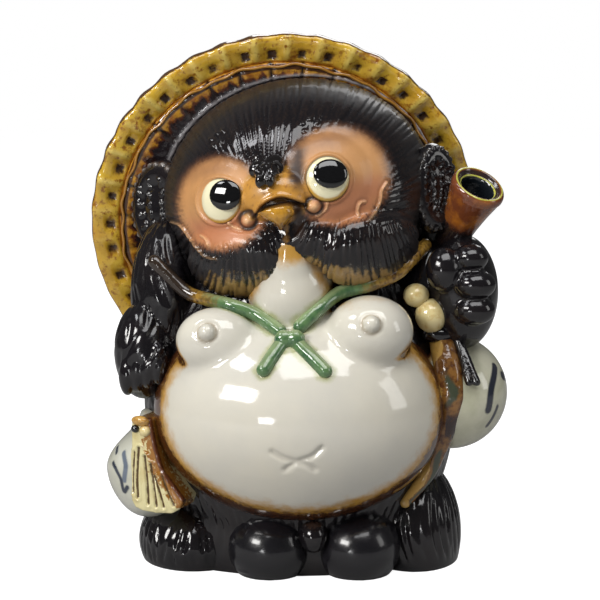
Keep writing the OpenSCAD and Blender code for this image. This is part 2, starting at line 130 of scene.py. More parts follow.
def slice_off(obj, point, normal):
    """Cuts away the side that the normal points to, and closes the cut."""
    cut = dict(plane_co=point, plane_no=normal, use_fill=True, clear_outer=True)
    on_whole_mesh(obj, (bpy.ops.mesh.bisect, cut))


def stand(obj):
    """Cuts a piece off level, a hair above the floor."""
    slice_off(obj, (0, 0, 0.0002), (0, 0, -1))


def points_of(obj):
    flat = np.empty(len(obj.data.vertices) * 3)
    obj.data.vertices.foreach_get("co", flat)
    return flat.reshape(-1, 3)


def normals_of(obj):
    flat = np.empty(len(obj.data.vertices) * 3)
    obj.data.vertices.foreach_get("normal", flat)
    return flat.reshape(-1, 3)


def move_to(obj, points):
    obj.data.vertices.foreach_set("co", points.ravel())
    obj.data.update()


def raise_by(obj, height):
    """Moves each point of the skin out along its normal, or in where the height is negative."""
    move_to(obj, points_of(obj) + normals_of(obj) * height[:, None])


def write_masks(obj, **masks):
    """Paints masks on a piece, each a number or an array from 0 to 1, for its glaze to use."""
    for name, values in masks.items():
        mask = obj.data.attributes.new(name, "FLOAT", "POINT")
        values = np.full(len(obj.data.vertices), np.clip(values, 0, 1), np.float32)
        mask.data.foreach_set("value", values)


def soft_step(low, high, values):
    part = np.clip((values - low) / (high - low), 0, 1)
    return part * part * (3 - 2 * part)


def clearance(points, place, half):
    """About how far each point stands outside a ball of clay."""
    half = np.array(half)
    local = (points - np.array(place.translation)) @ np.array(place.to_3x3()) / half
    reach = np.maximum(np.linalg.norm(local, axis=1), 1e-9)
    return (reach - 1) * reach / np.maximum(np.linalg.norm(local / half, axis=1), 1e-9)


def chance(a, b):
    """A repeatable number from 0 to 1 for a pair of counts."""
    return (np.sin(a * 127.1 + b * 311.7) * 43758.5453) % 1.0


def comb_marks(across, along, pitch, length, width=0.24):
    """Depth, 0 to 1, of short bent comb marks that lie in staggered rows."""
    column = np.floor(across / pitch)
    deepest = np.zeros(len(across))
    for step in (-1, 0, 1):
        c = column + step
        shift = chance(c, 3.3)
        row = np.floor(along / length + shift)
        part = along / length + shift - row
        lean = (chance(c, row) - 0.5) * 0.7 + (chance(row, c + 9) - 0.5) * 1.5 * (part - 0.5)
        off = (across / pitch - (c + 0.5 + lean)) / width
        mark = np.exp(-off * off) * np.sin(np.pi * part) ** 0.7 * (0.55 + 0.45 * chance(c + 4, row))
        deepest = np.maximum(deepest, mark)
    return deepest


def round_about(points, middle, radius):
    """How far round an upright lump each point lies, in metres along its skin, from its front."""
    return np.arctan2(points[:, 0] - middle.x, -(points[:, 1] - middle.y)) * radius


def sight(points):
    """Where the viewer's line to each point crosses the upright plane through the origin: x and z."""
    eye = np.array(eye_point)
    reach = (0.0 - eye[1]) / (points[:, 1] - eye[1])
    return eye[0] + reach * (points[:, 0] - eye[0]), eye[2] + reach * (points[:, 2] - eye[2])


def facing_eye(obj, points):
    """How squarely the skin at each point faces the viewer: 1 head on, 0 at the outline."""
    to_eye = np.array(eye_point) - points
    to_eye /= np.linalg.norm(to_eye, axis=1)[:, None]
    return np.sum(normals_of(obj) * to_eye, axis=1)


def skin_of(obj):
    """A search tree of a piece's skin, for laying marks on it."""
    return bvhtree.BVHTree.FromObject(obj, bpy.context.evaluated_depsgraph_get())


def seen(skin, x, z):
    """The point of a skin, and its normal, that shows at x and z on the upright plane."""
    spot, normal, _, _ = skin.ray_cast(eye_point, (Vector((x, 0.0, z)) - eye_point).normalized())
    return spot, normal


def colour(red, green, blue):
    """A colour from its printed values, 0 to 255, as the shader takes it."""
    return [((c / 255 + 0.055) / 1.055) ** 2.4 if c > 10 else c / 3300 for c in (red, green, blue)] + [1.0]


def glaze_cloud():
    """Shared effect: glaze that breaks and pools in clouds. It puts out a mask."""
    tree = bpy.data.node_groups.new("glaze_cloud", "ShaderNodeTree")
    for name, way in (("Size", "INPUT"), ("Low", "INPUT"), ("High", "INPUT"), ("Cloud", "OUTPUT")):
        tree.interface.new_socket(name, in_out=way, socket_type="NodeSocketFloat")
    come = tree.nodes.new("NodeGroupInput")
    go = tree.nodes.new("NodeGroupOutput")
    where = tree.nodes.new("ShaderNodeTexCoord")
    noise = tree.nodes.new("ShaderNodeTexNoise")
    noise.inputs["Detail"].default_value = 6.0
    noise.inputs["Roughness"].default_value = 0.62
    spread = tree.nodes.new("ShaderNodeMapRange")
    tree.links.new(where.outputs["Object"], noise.inputs["Vector"])
    tree.links.new(come.outputs["Size"], noise.inputs["Scale"])
    tree.links.new(noise.outputs["Fac"], spread.inputs["Value"])
    tree.links.new(come.outputs["Low"], spread.inputs["From Min"])
    tree.links.new(come.outputs["High"], spread.inputs["From Max"])
    tree.links.new(spread.outputs["Result"], go.inputs["Cloud"])
    return tree


cloud_tree = glaze_cloud()


class Glaze:
    """A glaze being mixed: a base colour, then coats laid over it through masks."""

    def __init__(self, name, base, rough=0.12, coat=0.5):
        self.material = bpy.data.materials.new(name)
        self.material.use_nodes = True
        self.nodes = self.material.node_tree.nodes
        self.links = self.material.node_tree.links
        self.shader = self.nodes["Principled BSDF"]
        self.shader.inputs["Roughness"].default_value = rough
        self.shader.inputs["Coat Weight"].default_value = coat
        self.shader.inputs["Coat Roughness"].default_value = 0.04
        self.base = colour(*base)
        self.shader.inputs["Base Color"].default_value = self.base
        self.last = None

    def node(self, kind, **values):
        """A new node, its inputs set to values or linked to other nodes' outputs."""
        node = self.nodes.new("ShaderNode" + kind)
        for name, value in values.items():
            socket = node.inputs[name.replace("_", " ")]
            if isinstance(value, bpy.types.NodeSocket):
                self.links.new(value, socket)
            else:
                socket.default_value = value
        return node

    def cloud(self, size, low=0.4, high=0.6):
        """A mask of clouds, this many to the metre."""
        group = self.nodes.new("ShaderNodeGroup")
        group.node_tree = cloud_tree
        group.inputs["Size"].default_value = size
        group.inputs["Low"].default_value = low
        group.inputs["High"].default_value = high
        return group.outputs["Cloud"]

    def mask(self, name):
        """A mask that was painted on the piece."""
        node = self.nodes.new("ShaderNodeAttribute")
        node.attribute_name = name
        return node.outputs["Fac"]

    def sum(self, operation, a, b):
        node = self.nodes.new("ShaderNodeMath")
        node.operation = operation
        node.use_clamp = True
        for socket, value in zip(node.inputs, (a, b)):
            if isinstance(value, (int, float)):
                socket.default_value = value
            else:
                self.links.new(value, socket)
        return node.outputs[0]

    def broken(self, mask, size, low=0.2, high=0.8, ragged=0.5):
        """A mask whose edge is broken up by clouds."""
        cloud = self.cloud(size, 0.3, 0.7)
        mixed = self.nodes.new("ShaderNodeMath")
        mixed.operation = "MULTIPLY_ADD"
        self.links.new(cloud, mixed.inputs[0])
        mixed.inputs[1].default_value = ragged
        shifted = self.sum("SUBTRACT", mask, ragged / 2)
        shifted.node.use_clamp = False
        self.links.new(shifted, mixed.inputs[2])
        edge = self.node("MapRange", Value=mixed.outputs[0], From_Min=low, From_Max=high)
        edge.interpolation_type = "SMOOTHSTEP"
        return edge.outputs["Result"]

    def coat(self, mask, tint):
        """Lays a colour, as its printed values, over what is there, through a mask."""
        mix = self.nodes.new("ShaderNodeMix")
        mix.data_type = "RGBA"
        self.links.new(mask, mix.inputs["Factor"])
        if self.last is None:
            mix.inputs["A"].default_value = self.base
        else:
            self.links.new(self.last, mix.inputs["A"])
        mix.inputs["B"].default_value = colour(*tint)
        self.last = mix.outputs["Result"]
        self.links.new(self.last, self.shader.inputs["Base Color"])
        return self

    def paint(self, mask, tint):
        """Lays a colour through a painted mask, as it is."""
        return self.coat(self.mask(mask), tint)

    def drift(self, tint, size, low, high):
        """Lays a colour in clouds, this many to the metre."""
        return self.coat(self.cloud(size, low, high), tint)

    def brush(self, mask, tint, size, *edge):
        """Lays a colour through a painted mask whose edge is broken up by clouds."""
        return self.coat(self.broken(self.mask(mask), size, *edge), tint)

    def speckle(self, mask, tint, size, low, high):
        """Lays a colour in clouds, only where a painted mask lets it."""
        return self.coat(self.sum("MULTIPLY", self.mask(mask), self.cloud(size, low, high)), tint)

    def ripple(self, size, depth):
        """The uneven skin of the fired glaze, as a fine bump."""
        where = self.node("TexCoord").outputs["Object"]
        noise = self.node("TexNoise", Vector=where, Scale=size, Detail=2.0)
        bump = self.node("Bump", Height=noise.outputs["Fac"], Distance=depth, Strength=1.0)
        self.links.new(bump.outputs["Normal"], self.shader.inputs["Normal"])
        return self

    def dull(self, mask, low, high):
        """Lets the gloss run from one roughness to another through a mask."""
        spread = self.node("MapRange", Value=mask, To_Min=low, To_Max=high)
        self.links.new(spread.outputs["Result"], self.shader.inputs["Roughness"])
        return self


def set_down(obj, glaze, slot, *nodes):
    """Gives a piece its glaze, and stands it in the figure in place of its solids."""
    obj.data.materials.clear()
    obj.data.materials.append(glaze.material)
    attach(obj, "root")
    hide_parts(*nodes)


fur_black = (20, 18, 21)
fur_brown = (62, 46, 38)
fur_glaze = Glaze("fur_glaze", fur_black, rough=0.16, coat=0.25)
fur_glaze.drift((29, 24, 25), 45, 0.45, 0.75)
fur_glaze.brush("worn", fur_brown, 900, 0.35, 0.95)
# Painted highlight: a pale grey line along the raised scallops of the ears.
fur_glaze.paint("line", (128, 120, 114))
fur_glaze.dull(fur_glaze.cloud(160), 0.08, 0.18).ripple(300, 0.00012)

body = fuse("body", [clay_ball(at(body_middle), body_half), clay_ball(at(skirt_middle), skirt_half)],
            body_grain, 14)
stand(body)
spots = points_of(body)
around = round_about(spots, body_middle, body_half.x)
wave = 0.003 * np.sin(spots[:, 2] * 55 + around * 40)
marks = comb_marks(around + wave, spots[:, 2], body_fur_pitch, body_fur_length)
marks *= soft_step(0.004, 0.014, spots[:, 2])
raise_by(body, -body_fur_depth * marks)
write_masks(body, worn=0.35 * (1 - marks) * soft_step(0.10, 0.02, spots[:, 2]))
set_down(body, fur_glaze, "fur_glaze", "front_body_shell", "back_body_shell")

# Belly and chest: the big white front of the figure, with two breast mounds and a bib up to the chin.
# It is pressed proud of the fur, rubbed into one soft form and dipped in a milky glaze that burns
# golden and then brown where it thins at the rim.
belly_middle = Vector((0.0, -0.024, 0.076))
belly_half = Vector((0.0685, 0.057, 0.052))
breast_left_middle = on_ball(belly_middle, belly_half, -52, 45, -0.0015)
breast_right_middle = on_ball(belly_middle, belly_half, 45, 50, 0.001)
breast_left_half = (0.0195, 0.0145, 0.0160)
breast_right_half = (0.0200, 0.0185, 0.0168)
bib_middle = on_body(-4.5, 40.5, -0.004)
bib_half = (0.020, 0.022, 0.026)
chin_spots = [
    ((-0.0054, -0.0535, 0.1545), (0.0060, 0.0050, 0.0085)),
    ((-0.0045, -0.0525, 0.1480), (0.0095, 0.0060, 0.0100)),
]
belly_grain = 0.0010
stud_radius = 0.0038
stud_height = 0.0034
stud_spots = [
    on_ball(breast_left_middle, breast_left_half, -14, 24),
    on_ball(breast_right_middle, breast_right_half, 0, 22),
]
navel_lines = [
    [(-0.0135, 0.0499), (-0.0080, 0.0468), (-0.0014, 0.0450)],
    [(0.0106, 0.0519), (0.0060, 0.0478), (-0.0014, 0.0450)],
    [(-0.0014, 0.0450), (-0.0040, 0.0434), (-0.0072, 0.0411)],
    [(-0.0014, 0.0450), (0.0030, 0.0436), (0.0072, 0.0411)],
]
navel_depth = 0.0013
navel_width = 0.0011
cord_lines = [
    ("cord_left", [(-0.067, -0.026, 0.1455), (-0.053, -0.030, 0.1325), (-0.043, -0.036, 0.1295),
                   (-0.032, -0.048, 0.1285), (-0.020, -0.050, 0.1245), (-0.009, -0.058, 0.1180)], 0.0033),
    ("cord_right", [(0.058, -0.020, 0.1525), (0.050, -0.034, 0.1465), (0.043, -0.038, 0.1410),
                    (0.031, -0.044, 0.1370), (0.018, -0.045, 0.1335), (0.008, -0.053, 0.1270),
                    (0.000, -0.057, 0.1200)], 0.0033),
    ("cord_tail_left", [(-0.0075, -0.0620, 0.1140), (-0.0120, -0.0672, 0.1085),
                        (-0.0160, -0.0715, 0.1030)], 0.0034),
    ("cord_tail_right", [(-0.0020, -0.0625, 0.1140), (0.0045, -0.0680, 0.1085),
                         (0.0110, -0.0720, 0.1025)], 0.0034),
]


def soft_line(points, steps=8):
    """Points along a smooth line through a few chosen ones."""
    knots = [np.array(p) for p in points]
    knots = [2 * knots[0] - knots[1]] + knots + [2 * knots[-1] - knots[-2]]
    line = []
    for a, b, c, d in zip(knots, knots[1:], knots[2:], knots[3:]):
        for t in np.arange(steps) / steps:
            line.append(0.5 * (2 * b + (c - a) * t + (2 * a - 5 * b + 4 * c - d) * t**2
                               + (3 * b - a - 3 * c + d) * t**3))
    return np.array(line + [knots[-2]])


def line_gap(spots, points):
    """How far each spot lies from a smooth line through a few chosen points."""
    line = soft_line(points)
    nearest = np.full(len(spots), 1.0)
    for a, b in zip(line, line[1:]):
        run = b - a
        part = np.clip((spots - a) @ run / (run @ run), 0, 1)
        nearest = np.minimum(nearest, np.linalg.norm(spots - a - part[:, None] * run, axis=1))
    return nearest


def hump(gap, width):
    """A soft hump, 1 where the gap is nothing."""
    return np.exp(-(gap / width) ** 2)


belly_lumps = [
    clay_ball(at(belly_middle), belly_half),
    clay_ball(at(breast_left_middle), breast_left_half),
    clay_ball(at(breast_right_middle), breast_right_half),
    clay_ball(at(bib_middle), bib_half),
]
belly_lumps += [clay_ball(at(spot), half, 5) for spot, half in chin_spots]
belly = fuse("belly", belly_lumps, belly_grain, 60)
slice_off(belly, (0, 0.012, 0), (0, 1, 0))

milk = (214, 209, 194)
burnt_gold = (190, 144, 66)
rim_brown = (74, 42, 22)
belly_glaze = Glaze("belly_glaze", milk, rough=0.10, coat=0.5)
belly_glaze.drift((203, 200, 190), 18, 0.35, 0.7)
belly_glaze.brush("tinge", (176, 178, 136), 200, 0.3, 0.95, 0.4)
# Painted shadow: a brownish ring round the foot of each stud.
belly_glaze.paint("ring", (150, 130, 96))
belly_glaze.brush("thin", burnt_gold, 160, 0.25, 0.95, 0.35)
belly_glaze.brush("rim", rim_brown, 300, 0.25, 0.85, 0.4)
belly_glaze.ripple(60, 0.0004)

spots = points_of(belly)
x, z = sight(spots)
here = np.stack([x, z], 1)
rise = np.zeros(len(x))
for navel_line in navel_lines:
    rise = np.minimum(rise, -navel_depth * hump(line_gap(here, navel_line), navel_width))
for stud_spot in stud_spots:
    gap = np.linalg.norm(spots - np.array(stud_spot), axis=1)
    rise += stud_height * np.sqrt(np.clip(1 - (gap / stud_radius) ** 2, 0, 1))
    rise -= 0.0006 * hump(gap - 0.0050, 0.0009)
raise_by(belly, rise * soft_step(0.1, -0.1, normals_of(belly)[:, 1]))
rub(belly, 1)
cord_gap = np.min([line_gap(spots, points) for _, points, _ in cord_lines], axis=0)
stud_gap = np.min([np.linalg.norm(spots - np.array(spot), axis=1) for spot in stud_spots], axis=0)
out_of_fur = np.minimum(clearance(spots, at(body_middle), body_half),
                        clearance(spots, at(skirt_middle), skirt_half))
turned = facing_eye(belly, spots)
low_down = soft_step(0.120, 0.104, spots[:, 2])
x, z = sight(spots)
bib_edge = np.abs(x + 0.0050) / np.interp(z, [0.116, 0.150], [0.025, 0.004])
beside_bib = soft_step(0.55, 1.05, bib_edge) * soft_step(0.114, 0.124, z)
beside_bib *= 1 - 0.5 * soft_step(1.1, 1.5, bib_edge)
thin = [1 - soft_step(0.0005, 0.0065, out_of_fur), soft_step(0.66, 0.30, turned) * low_down,
        0.75 * beside_bib, 0.9 * soft_step(0.1400, 0.1540, spots[:, 2])]
rim = [1 - soft_step(-0.0002, 0.0022, out_of_fur), soft_step(0.52, 0.20, turned) * low_down]
write_masks(
    belly,
    tinge=soft_step(0.0085, 0.0030, cord_gap) * 0.85,
    # ring: painted shadow round the foot of each stud
    ring=hump(stud_gap - 0.0044, 0.0007) * 0.6,
    thin=np.max(thin, axis=0),
    rim=np.max(rim, axis=0),
)
set_down(belly, belly_glaze, "white_glaze", "belly_shell", "chest_bib", "breast_left", "breast_right",
         "stud_left", "stud_right")

# Head: a hollow pressing tipped up under the hat, with two furred cheek ruffs, a low dome under
# each eye and a small muzzle luted on and rubbed in. The mask round the eyes is a matt tan slip,
# and the rest is combed and dipped in the fur glaze.
head_middle = Vector((-0.001, -0.002, 0.175))
head_half = Vector((0.064, 0.055, 0.054))
head_place = at(head_middle, (-7.0, -10.5, -10.0))
head_grain = 0.00075
muzzle_at = (0, -3, -0.0005)
ruffs = [(-30, -33, -0.0020), (44, -38, -0.0015)]
ruff_half = (0.027, 0.012, 0.019)
chin_lumps = [(-13, -27, (0.016, 0.0085, 0.012)), (15, -30, (0.016, 0.0085, 0.012))]
chin_line = [(-0.0066, 0.1600), (-0.0064, 0.1560), (-0.0062, 0.1525)]
domes = [(-25, -1), (24, 2)]
dome_half = (0.023, 0.010, 0.021)
muzzle_half = (0.0150, 0.0090, 0.0110)
eye_spots = [(-0.0379, 0.1713), (0.0131, 0.1818)]
eye_half = (0.0100, 0.0050, 0.0104)
mask_spots = [((-0.0374, 0.1702), (0.0212, 0.0222)), ((0.0176, 0.1836), (0.0250, 0.0232))]
corner_spots = [(-0.0247, 0.1623), (0.0066, 0.1690)]
mouth_arch = [(-0.0215, 0.1640), (-0.0175, 0.1694), (-0.0106, 0.1728), (-0.0052, 0.1723), (0.0034, 0.1692)]
lip_shade_line = [(-0.0010, 0.1680), (-0.0005, 0.1620), (0.0000, 0.1560)]
mouth_floor = [(-0.0215, 0.1636), (-0.0190, 0.1660), (-0.0120, 0.1680), (-0.0052, 0.1690), (0.0034, 0.1688)]
curls = [
    [(-0.0610, 0.1612), (-0.0565, 0.1595), (-0.0527, 0.1544),
     (-0.0495, 0.1493), (-0.0452, 0.1448), (-0.0400, 0.1435)],
    [(-0.0470, 0.1548), (-0.0447, 0.1532), (-0.0435, 0.1500)],
    [(0.0411, 0.1802), (0.0386, 0.1761), (0.0380, 0.1716), (0.0358, 0.1659), (0.0327, 0.1621)],
    [(0.0310, 0.1710), (0.0282, 0.1704), (0.0272, 0.1666), (0.0279, 0.1643)],
    [(-0.0337, 0.1618), (-0.0318, 0.1590), (-0.0280, 0.1578)],
    [(0.0128, 0.1706), (0.0123, 0.1675), (0.0085, 0.1642)],
]
face_fur_pitch = 0.0022
curl_height = 0.0011
curl_width = 0.0005
ring_spots = [(-0.0386, 0.1490), (-0.0347, 0.1501), (-0.0373, 0.1457), (-0.0333, 0.1455)]
ring_radius = 0.0014
drop_spots = [(-0.0422, 0.2002), (-0.0396, 0.2030), (-0.0367, 0.2044), (-0.0410, 0.1973), (-0.0377, 0.1992),
              (0.0014, 0.2077), (0.0042, 0.2096), (0.0080, 0.2081), (0.0024, 0.2044), (0.0075, 0.2049)]


def on_head(lon, lat, out=0.0):
    """A place on the head, its -Y axis pointing straight out."""
    spot = on_ball((0.0, 0.0, 0.0), head_half, lon, lat, out)
    return head_place @ at(spot, (0, 0, lon)) @ at((0, 0, 0), (-lat, 0, 0))


def fur_rays(across, along, spread, length, width):
    """Comb marks that fan out from one point."""
    turn = np.arctan2(across, along)
    return comb_marks(turn * spread, np.hypot(across, along), face_fur_pitch, length, width)


head_lumps = [clay_ball(head_place, head_half)]
head_lumps += [clay_ball(on_head(lon, lat, out), ruff_half) for lon, lat, out in ruffs]
head_lumps += [clay_ball(on_head(lon, lat, -0.0075), dome_half) for lon, lat in domes]
head_lumps += [clay_ball(on_head(*muzzle_at), muzzle_half)]
head_lumps += [clay_ball(on_head(lon, lat, -0.003), half) for lon, lat, half in chin_lumps]
head = fuse("head", head_lumps, head_grain, 22)
hat_place = at((-0.008, 0.032, 0.1595), (-75.5, 0.0, 4.5))
hat_out = hat_place.to_3x3() @ Vector((0, 0, 1))
slice_off(head, hat_place.translation + hat_out * 0.006, hat_out)

spots = points_of(head)
front = soft_step(0.1, -0.1, normals_of(head)[:, 1])
x, z = sight(spots)
here = np.stack([x, z], 1)
rise = np.zeros(len(x))
tan = np.zeros(len(x))
for (mx, mz), (half_x, half_z) in mask_spots:
    angle = np.arctan2(x - mx, z - mz)
    reach = np.hypot((x - mx) / half_x, (z - mz) / half_z)
    ragged = comb_marks(angle * 0.022, reach * 0.022, 0.0012, 0.006) + 0.4 * chance(np.floor(angle * 60), mx)
    lower = soft_step(0.4, -0.4, (z - mz) / half_z)
    tan = np.maximum(tan, soft_step(1.22, 0.72, reach + (0.02 + 0.08 * lower) * (ragged - 0.5)))
for ex, ez in eye_spots:
    reach = np.hypot((x - ex) / eye_half[0], (z - ez) / eye_half[2])
    rise += 0.0011 * hump((reach - 1.10) * 0.010, 0.0009)
muzzle_clear = clearance(spots, on_head(*muzzle_at), muzzle_half)
gold = soft_step(0.004, 0.0005, muzzle_clear)
chin_gap = line_gap(here, chin_line)
rise += 0.0022 * hump(chin_gap, 0.0024) * front
gold = np.maximum(gold, 0.5 * hump(chin_gap, 0.0022) * front)
gold *= 1 - soft_step(0.1640, 0.1600, z) * soft_step(0.0040, 0.0075, chin_gap)
bridge = soft_step(-0.0090, -0.0040, x) * soft_step(0.0075, -0.0020, x) * soft_step(0.171, 0.183, z)
fur_left = fur_rays(x + 0.030, 0.200 - z, 0.052, 0.026, 0.19)
fur_right = fur_rays(x - 0.026, 0.215 - z, 0.060, 0.028, 0.19)
fur_top = fur_rays(x + 0.014, z - 0.150, 0.055, 0.020, 0.20)
low = soft_step(0.166, 0.156, z)
furred = (1 - soft_step(0.05, 0.5, tan)) * (1 - gold)
fur = np.where(x < -0.004, fur_left, fur_right) * low + fur_top * (1 - low) * 0.8
rise -= (0.0008 + 0.0004 * low) * fur * furred
curled = np.zeros(len(x))
for curl in curls:
    gap = line_gap(here, curl)
    rise += curl_height * hump(gap, curl_width) * front
    rise -= 0.4 * curl_height * hump(gap - 2.2 * curl_width, curl_width) * front
    curled = np.maximum(curled, hump(gap, curl_width))
for rx, rz in ring_spots:
    gap = np.abs(np.hypot(x - rx, z - rz) - ring_radius)
    rise += 0.0007 * hump(gap, 0.0005) * front
for dx, dz in drop_spots:
    rise += 0.0009 * hump(np.hypot(x - dx, z - dz), 0.0010) * front
corner = np.zeros(len(x))
hollow = np.zeros(len(x))
for cx, cz in corner_spots:
    gap = np.hypot(x - cx, z - cz)
    rise += 0.0026 * hump(gap, 0.0026) * front
    rise -= 0.0009 * hump(gap - 0.0042, 0.0010) * front
    corner = np.maximum(corner, hump(gap, 0.0021) * front)
    hollow = np.maximum(hollow, hump(gap - 0.0040, 0.0012) * front)
arch = soft_line(mouth_arch)
mouth_bed = soft_line(mouth_floor)
lip_gap = line_gap(here, mouth_arch)
inside = np.minimum(np.interp(x, arch[:, 0], arch[:, 1], left=0, right=0) - z,
                    z - np.interp(x, mouth_bed[:, 0], mouth_bed[:, 1], left=1, right=1) + 0.0006)
mouth = soft_step(-0.0004, 0.0008, inside) * front
rise += 0.0009 * hump(lip_gap - 0.0012, 0.0010) * (1 - mouth) * front * soft_step(0.158, 0.164, z)
rise -= 0.0035 * mouth
raise_by(head, rise)
under = z - 0.1702 - (x + 0.0374) * 0.246
fringe = soft_step(-0.30, -0.70, normals_of(head)[:, 2]) * front * (1 - 0.8 * fur)
inner_right = soft_step(0.0, 0.004, x) * soft_step(0.026, 0.018, x)
fringe *= soft_step(0.1425, 0.1375, z) + soft_step(0.1490, 0.1430, z) * inner_right
turned = facing_eye(head, spots)
beside_lip = hump(line_gap(here, lip_shade_line), 0.0034) * front
write_masks(
    head,
    tan=tan,
    gold=gold,
    blush=tan * soft_step(0.004, -0.012, under),
    dusk=tan * soft_step(0.004, 0.020, under),
    fringe=fringe * soft_step(-0.052, -0.040, x),
    edge=soft_step(0.75, 0.45, turned),
    line=np.maximum(0.85 * curled * (0.25 + 0.75 * tan) * front, corner),
    dark=np.maximum(mouth, hump(lip_gap, 0.0005) * front),
    shade=np.max([0.9 * beside_lip, bridge * tan, 0.95 * hollow], axis=0),
    worn=0.55 * furred * (1 - fur) * soft_step(0.12, 0.0, tan),
)

face_glaze = Glaze("face_glaze", fur_black, rough=0.15, coat=0.2)
face_glaze.drift((25, 21, 22), 60, 0.45, 0.75)
face_glaze.brush("worn", (42, 33, 29), 900, 0.35, 0.95)
face_glaze.brush("tan", (100, 66, 46), 500, 0.0, 0.75, 0.15)
face_glaze.brush("tan", (196, 143, 90), 260, 0.30, 1.0, 0.15)
face_glaze.brush("blush", (186, 122, 84), 60, 0.1, 1.1, 0.3)
face_glaze.brush("dusk", (128, 88, 60), 120, 0.2, 1.5, 0.3)
face_glaze.brush("fringe", (150, 120, 70), 300, 0.3, 0.95, 0.6)
face_glaze.brush("gold", (192, 138, 58), 300, 0.2, 0.8, 0.35)
face_glaze.speckle("gold", (110, 62, 26), 420, 0.55, 0.8)
face_glaze.paint("line", (232, 184, 134))
face_glaze.brush("shade", (48, 31, 24), 200, 0.1, 1.0, 0.2)
face_glaze.paint("dark", (44, 28, 25))
matt = face_glaze.sum("MAXIMUM", face_glaze.mask("edge"), face_glaze.mask("shade"))
face_glaze.dull(face_glaze.sum("MAXIMUM", face_glaze.mask("tan"), matt), 0.09, 0.46).ripple(300, 0.00012)
set_down(head, face_glaze, "mask_glaze", "head_front_shell", "head_back_shell", "patch_left", "patch_right",
         "muzzle", "ruff_left", "ruff_right", "forehead_fringe")
head_skin = skin_of(head)

# Eyes: two pressed clay balls set in the domes, each with a flat round pupil laid on its upper part.
# The whites are a cream glaze that goes golden at the lids, and the pupils a mirror black one.
pupil_spots = [(-0.0353, 0.1742), (0.0144, 0.1843)]
pupil_halves = [(0.0074, 0.0021, 0.0069), (0.0078, 0.0021, 0.0066)]


def facing(spot, normal, roll=0.0):
    """A place on a skin, its -Y axis pointing straight out of it, rolled by some degrees."""
    turn = normal.to_track_quat("-Y", "Z").to_matrix().to_4x4()
    return Matrix.Translation(spot) @ turn @ Matrix.Rotation(math.radians(roll), 4, "Y")


eye_glaze = Glaze("eye_white", (240, 233, 196), rough=0.08, coat=0.6)
eye_glaze.brush("lid", (205, 160, 66), 400, 0.3, 0.9, 0.2)
eye_glaze.paint("seam", (52, 32, 18)).ripple(90, 0.0002)
pupil_glaze = Glaze("eye_black", (8, 8, 10), rough=0.04, coat=0.8)
pupil_glaze.drift((16, 15, 18), 200, 0.6, 0.9).ripple(80, 0.0001)

for side, (ex, ez), (px, pz), pupil_half in zip(("left", "right"), eye_spots, pupil_spots, pupil_halves):
    spot, normal = seen(head_skin, ex, ez)
    eye = fuse("eye_" + side, [clay_ball(facing(spot, normal) @ at((0, 0.0008, 0)), eye_half)], 0.0004, 4)
    x, z = sight(points_of(eye))
    reach = np.hypot((x - ex) / eye_half[0], (z - ez) / eye_half[2])
    below = soft_step(0.3, -0.8, (z - ez) / eye_half[2])
    lid = soft_step(0.72, 1.0, reach) * (0.45 + 0.55 * below)
    write_masks(eye, lid=lid, seam=soft_step(0.975, 1.02, reach) * 0.8)
    set_down(eye, eye_glaze, "eye_white", "eye_" + side)
    spot, normal = seen(skin_of(eye), px, pz)
    pupil = fuse("pupil_" + side, [clay_ball(facing(spot, normal), pupil_half)], 0.0003, 4)
    set_down(pupil, pupil_glaze, "eye_black", "pupil_" + side)

# Nose: small lobes of clay pinched together on top of the muzzle, with a coil curled round each nostril.
# It takes the thickest black glaze of the face.
nose_lobes = [
    ((-0.0150, 0.1834), (0.0056, 0.0030, 0.0056)),
    ((-0.0190, 0.1846), (0.0034, 0.0036, 0.0042)),
    ((-0.0120, 0.1868), (0.0050, 0.0040, 0.0054)),
    ((-0.0174, 0.1802), (0.0026, 0.0034, 0.0040)),
    ((-0.0136, 0.1804), (0.0024, 0.0032, 0.0038)),
]
nostrils = [((-0.0192, 0.1850), 0.0019), ((-0.0112, 0.1872), 0.0028)]
nose_cleft = [(-0.0160, 0.1880), (-0.0156, 0.1830), (-0.0154, 0.1770)]
nose_lumps = []
for (nx, nz), half in nose_lobes:
    spot, normal = seen(head_skin, nx, nz)
    nose_lumps.append(clay_ball(facing(spot + normal * 0.0022, normal), half, 5))
nose = fuse("nose", nose_lumps, 0.0003, 14)
x, z = sight(points_of(nose))
rise = np.zeros(len(x))
for (nx, nz), radius in nostrils:
    gap = np.hypot(x - nx, z - nz)
    rise += 0.0007 * hump(gap - radius, 0.0005) - 0.0007 * hump(gap, radius * 0.6)
rise -= 0.0007 * hump(line_gap(np.stack([x, z], 1), nose_cleft), 0.0004)
raise_by(nose, rise)
rub(nose, 2)
nose_glaze = Glaze("nose_glaze", (20, 17, 17), rough=0.08, coat=0.7)
nose_glaze.drift((46, 32, 25), 300, 0.6, 0.8).ripple(90, 0.0001)
set_down(nose, nose_glaze, "nose_glaze", "nose")

# Lower lip: a small wedge of clay that hangs open under the muzzle, in the golden glaze of the hat.
lip_spot = (-0.0115, 0.1652)
lip_half = (0.0086, 0.0058, 0.0072)
spot, normal = seen(head_skin, *lip_spot)
lip = fuse("lower_lip", [clay_ball(facing(spot + normal * 0.0012, normal, -9), lip_half)], 0.0004, 3)
spots = points_of(lip)
x, z = sight(spots)
drop = soft_step(0.1670, 0.1585, z)
spots[:, 0] += (lip_spot[0] + 0.0035 - x) * 0.65 * drop
spots[:, 2] -= np.maximum(z - np.interp(x, mouth_bed[:, 0], mouth_bed[:, 1]), 0) * 0.9
move_to(lip, spots)
rub(lip, 3)
write_masks(lip, tip=soft_step(0.1640, 0.1575, z))
lip_glaze = Glaze("lip_glaze", (192, 140, 46), rough=0.12, coat=0.5)
lip_glaze.brush("tip", (104, 64, 26), 300, 0.2, 0.95, 0.4)
lip_glaze.drift((132, 92, 30), 260, 0.45, 0.75)
lip_glaze.drift((88, 52, 22), 600, 0.6, 0.8).ripple(300, 0.0002)
